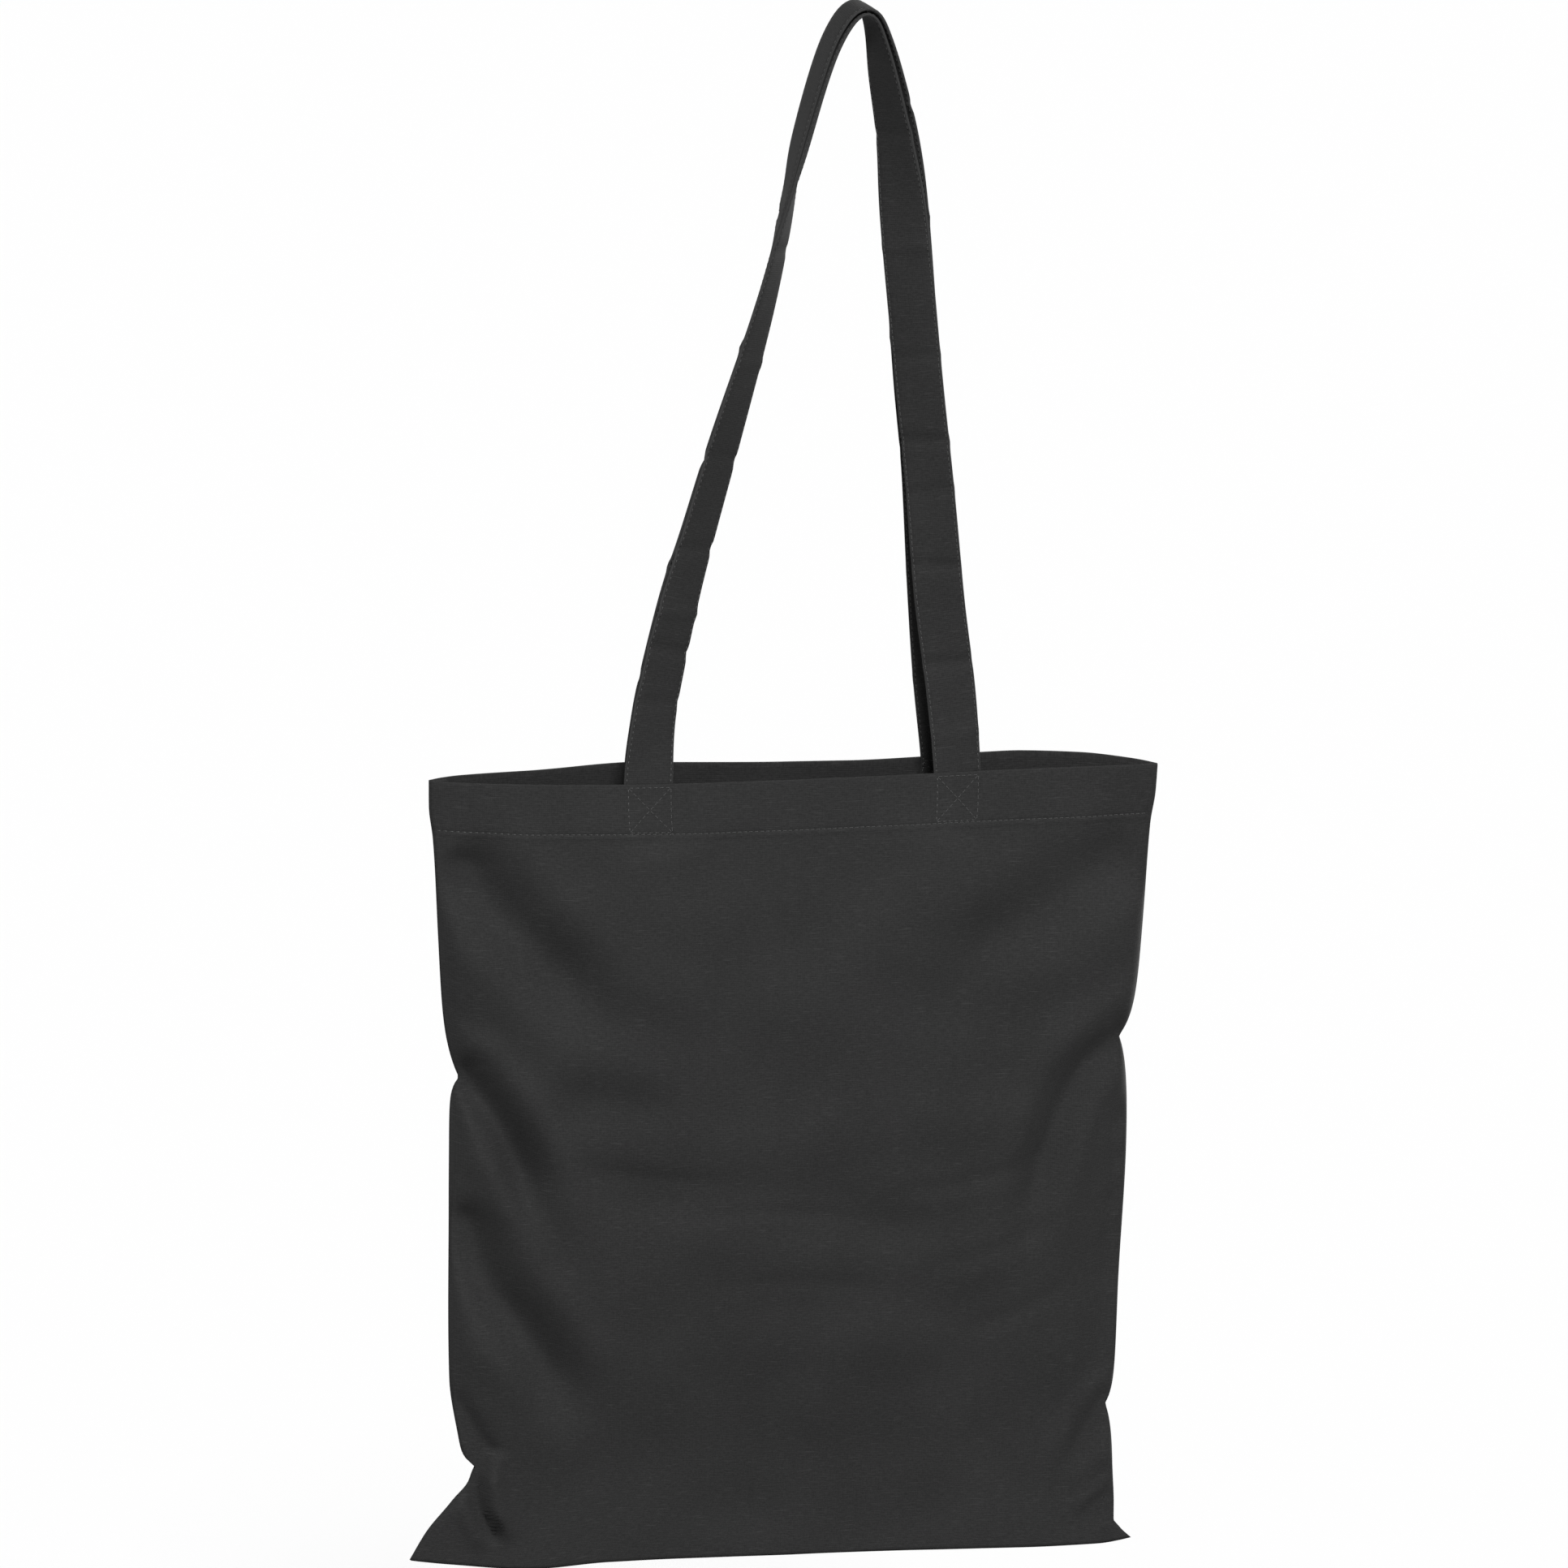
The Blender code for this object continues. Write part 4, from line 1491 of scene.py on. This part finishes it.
@dataclass
class ToteBag:
    """All pieces of the bag and how they are dressed; the box stitching goes on its panel's
    body.
    """

    hang: HangFrame
    canvas: bpy.types.Material
    strap_cloth: bpy.types.Material
    thread: bpy.types.Material
    overlock: bpy.types.Material
    mouth_start: float = -9.0       # front end, in y, of the band of cloth round the mouth
    mouth_end: float = 17.0         # back end, in y, of that band
    fold_start: float = -0.5        # low and high heights of a loop's bend over the rim
    fold_end: float = 8.0
    seam_points: int = 140
    seam_end_gap: float = 3.0       # the side seams' binding stops short of both ends
    bottom_seam_reach: float = 178.0

    def build(self) -> None:
        """Build every piece in order; the box stitching goes on the front or back body."""
        front = self._panel(PanelShape(
            Side.FRONT, rim_bulge=17.0, rim_skew=15.7, belly=21.0, creases=FRONT_CREASES,
            rim_lift=FRONT_RIM_LIFT, ripple_seed=7))
        back = self._panel(PanelShape(
            Side.BACK, rim_bulge=24.0, rim_skew=0.0, belly=17.0, creases=BACK_CREASES,
            rim_lift=BACK_RIM_LIFT, ripple_seed=11))
        self._strap(front, FRONT_ROUTE, FRONT_CREASE_MARKS, "bag_front", "front_loop")
        self._strap(back, BACK_ROUTE, BACK_CREASE_MARKS, "bag_back", "back_loop")
        self._seams(front)

    def _panel(self, shape: PanelShape) -> CanvasPanel:
        """Build one panel with its hem stitching.

        Args:
            shape: How the panel hangs.

        Returns:
            The panel.
        """
        panel = CanvasPanel(shape, self.hang, self.canvas, self.thread)
        cloth, stitching = panel.build()
        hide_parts(panel.word + "_panel")
        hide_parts(panel.word + "_hem_stitch")
        self._open_with_mouth(cloth)
        self._open_with_mouth(stitching)
        LOG.info("built %s and %s", cloth.name, stitching.name)
        return panel

    def _open_with_mouth(self, piece: bpy.types.Object) -> None:
        """Bake a piece of the bag's body into its place in the world."""
        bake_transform(piece)

    def _strap(self, panel: CanvasPanel, route: tuple[tuple[float, float, float], ...],
               creases: tuple[StrapCrease, ...], sewn_to: str, loop: str) -> None:
        """Build one handle with its stitching; its box stitching goes on the panel's body.

        Args:
            panel: The panel that it is sewn to.
            route: The way that it hangs.
            creases: The creases across it.
            sewn_to: The body that carries its sewn ends.
            loop: The body meant for its loop; not used.
        """
        strap = FoldedStrap(panel, route, self.strap_cloth, self.thread, creases)
        cloth, stitching = strap.build()
        word = panel.word
        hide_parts(word + "_handle", word + "_handle_left_end",
                    word + "_handle_right_end")
        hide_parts(word + "_handle_inner_stitch", word + "_handle_outer_stitch")
        for piece in (cloth, stitching):
            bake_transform(piece)
        for end, middle in zip(strap.build_ends(), ("left", "right")):
            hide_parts(f"{word}_box_stitch_{middle}")
            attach(end, sewn_to)
        LOG.info("built the %s handle, %.0f mm long", word, strap.run[-1])

    def _seams(self, panel: CanvasPanel) -> None:
        """Build the overlocked seams inside the bag.

        Args:
            panel: The panel whose edges they follow.
        """
        shape = panel.shape
        down = np.linspace(self.seam_end_gap, shape.flat_height - self.seam_end_gap,
                           self.seam_points)
        maker = OverlockedSeam(self.hang, self.overlock)
        for word, way in (("left", -1.0), ("right", 1.0)):
            edge = shape.place(np.full(len(down), way * shape.flat_half_width), down)
            edge[:, 1] = 0.0
            inwards = np.tile(np.array([-way, 0.0, 0.0]), (len(down), 1))
            seam = maker.along_edge(f"{word}_seam_overlock", edge, inwards)
            self._dress_seam(seam, f"{word}_side_seam")
        across = np.linspace(-self.bottom_seam_reach, self.bottom_seam_reach,
                             self.seam_points)
        edge = shape.place(across, np.full(len(across), shape.flat_height))
        edge[:, 1] = 0.0
        inwards = np.tile(np.array([0.0, 0.0, 1.0]), (len(across), 1))
        self._dress_seam(maker.along_edge("bottom_seam_overlock", edge, inwards),
                         "bottom_seam")

    def _dress_seam(self, seam: bpy.types.Object, node: str) -> None:
        """Hide the CAD seam that a built seam replaces, and bake the seam in place.

        Args:
            seam: The seam's piece.
            node: The CAD node that it replaces.
        """
        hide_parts(node)
        self._open_with_mouth(seam)
        LOG.info("built %s", seam.name)


def main() -> None:
    """Build the studio and the bag."""
    logging.basicConfig(level=logging.INFO, format="%(name)s: %(message)s")
    hang = HangFrame.from_cad()
    Studio(Vector(hang.world(np.array(VIEW_MIDDLE)))).build()
    # the strap's folded edges get a painted highlight
    strap_cotton = WovenCotton(name="strap_cotton", edge_highlight_from_mm=11.6)
    ToteBag(hang, WovenCotton().material(), strap_cotton.material(),
            SpunThread().material(),
            SpunThread(name="overlock_thread", shade="#222222", light="#343434",
                       roughness=0.85).material()).build()


if __name__ == "__main__":
    main()
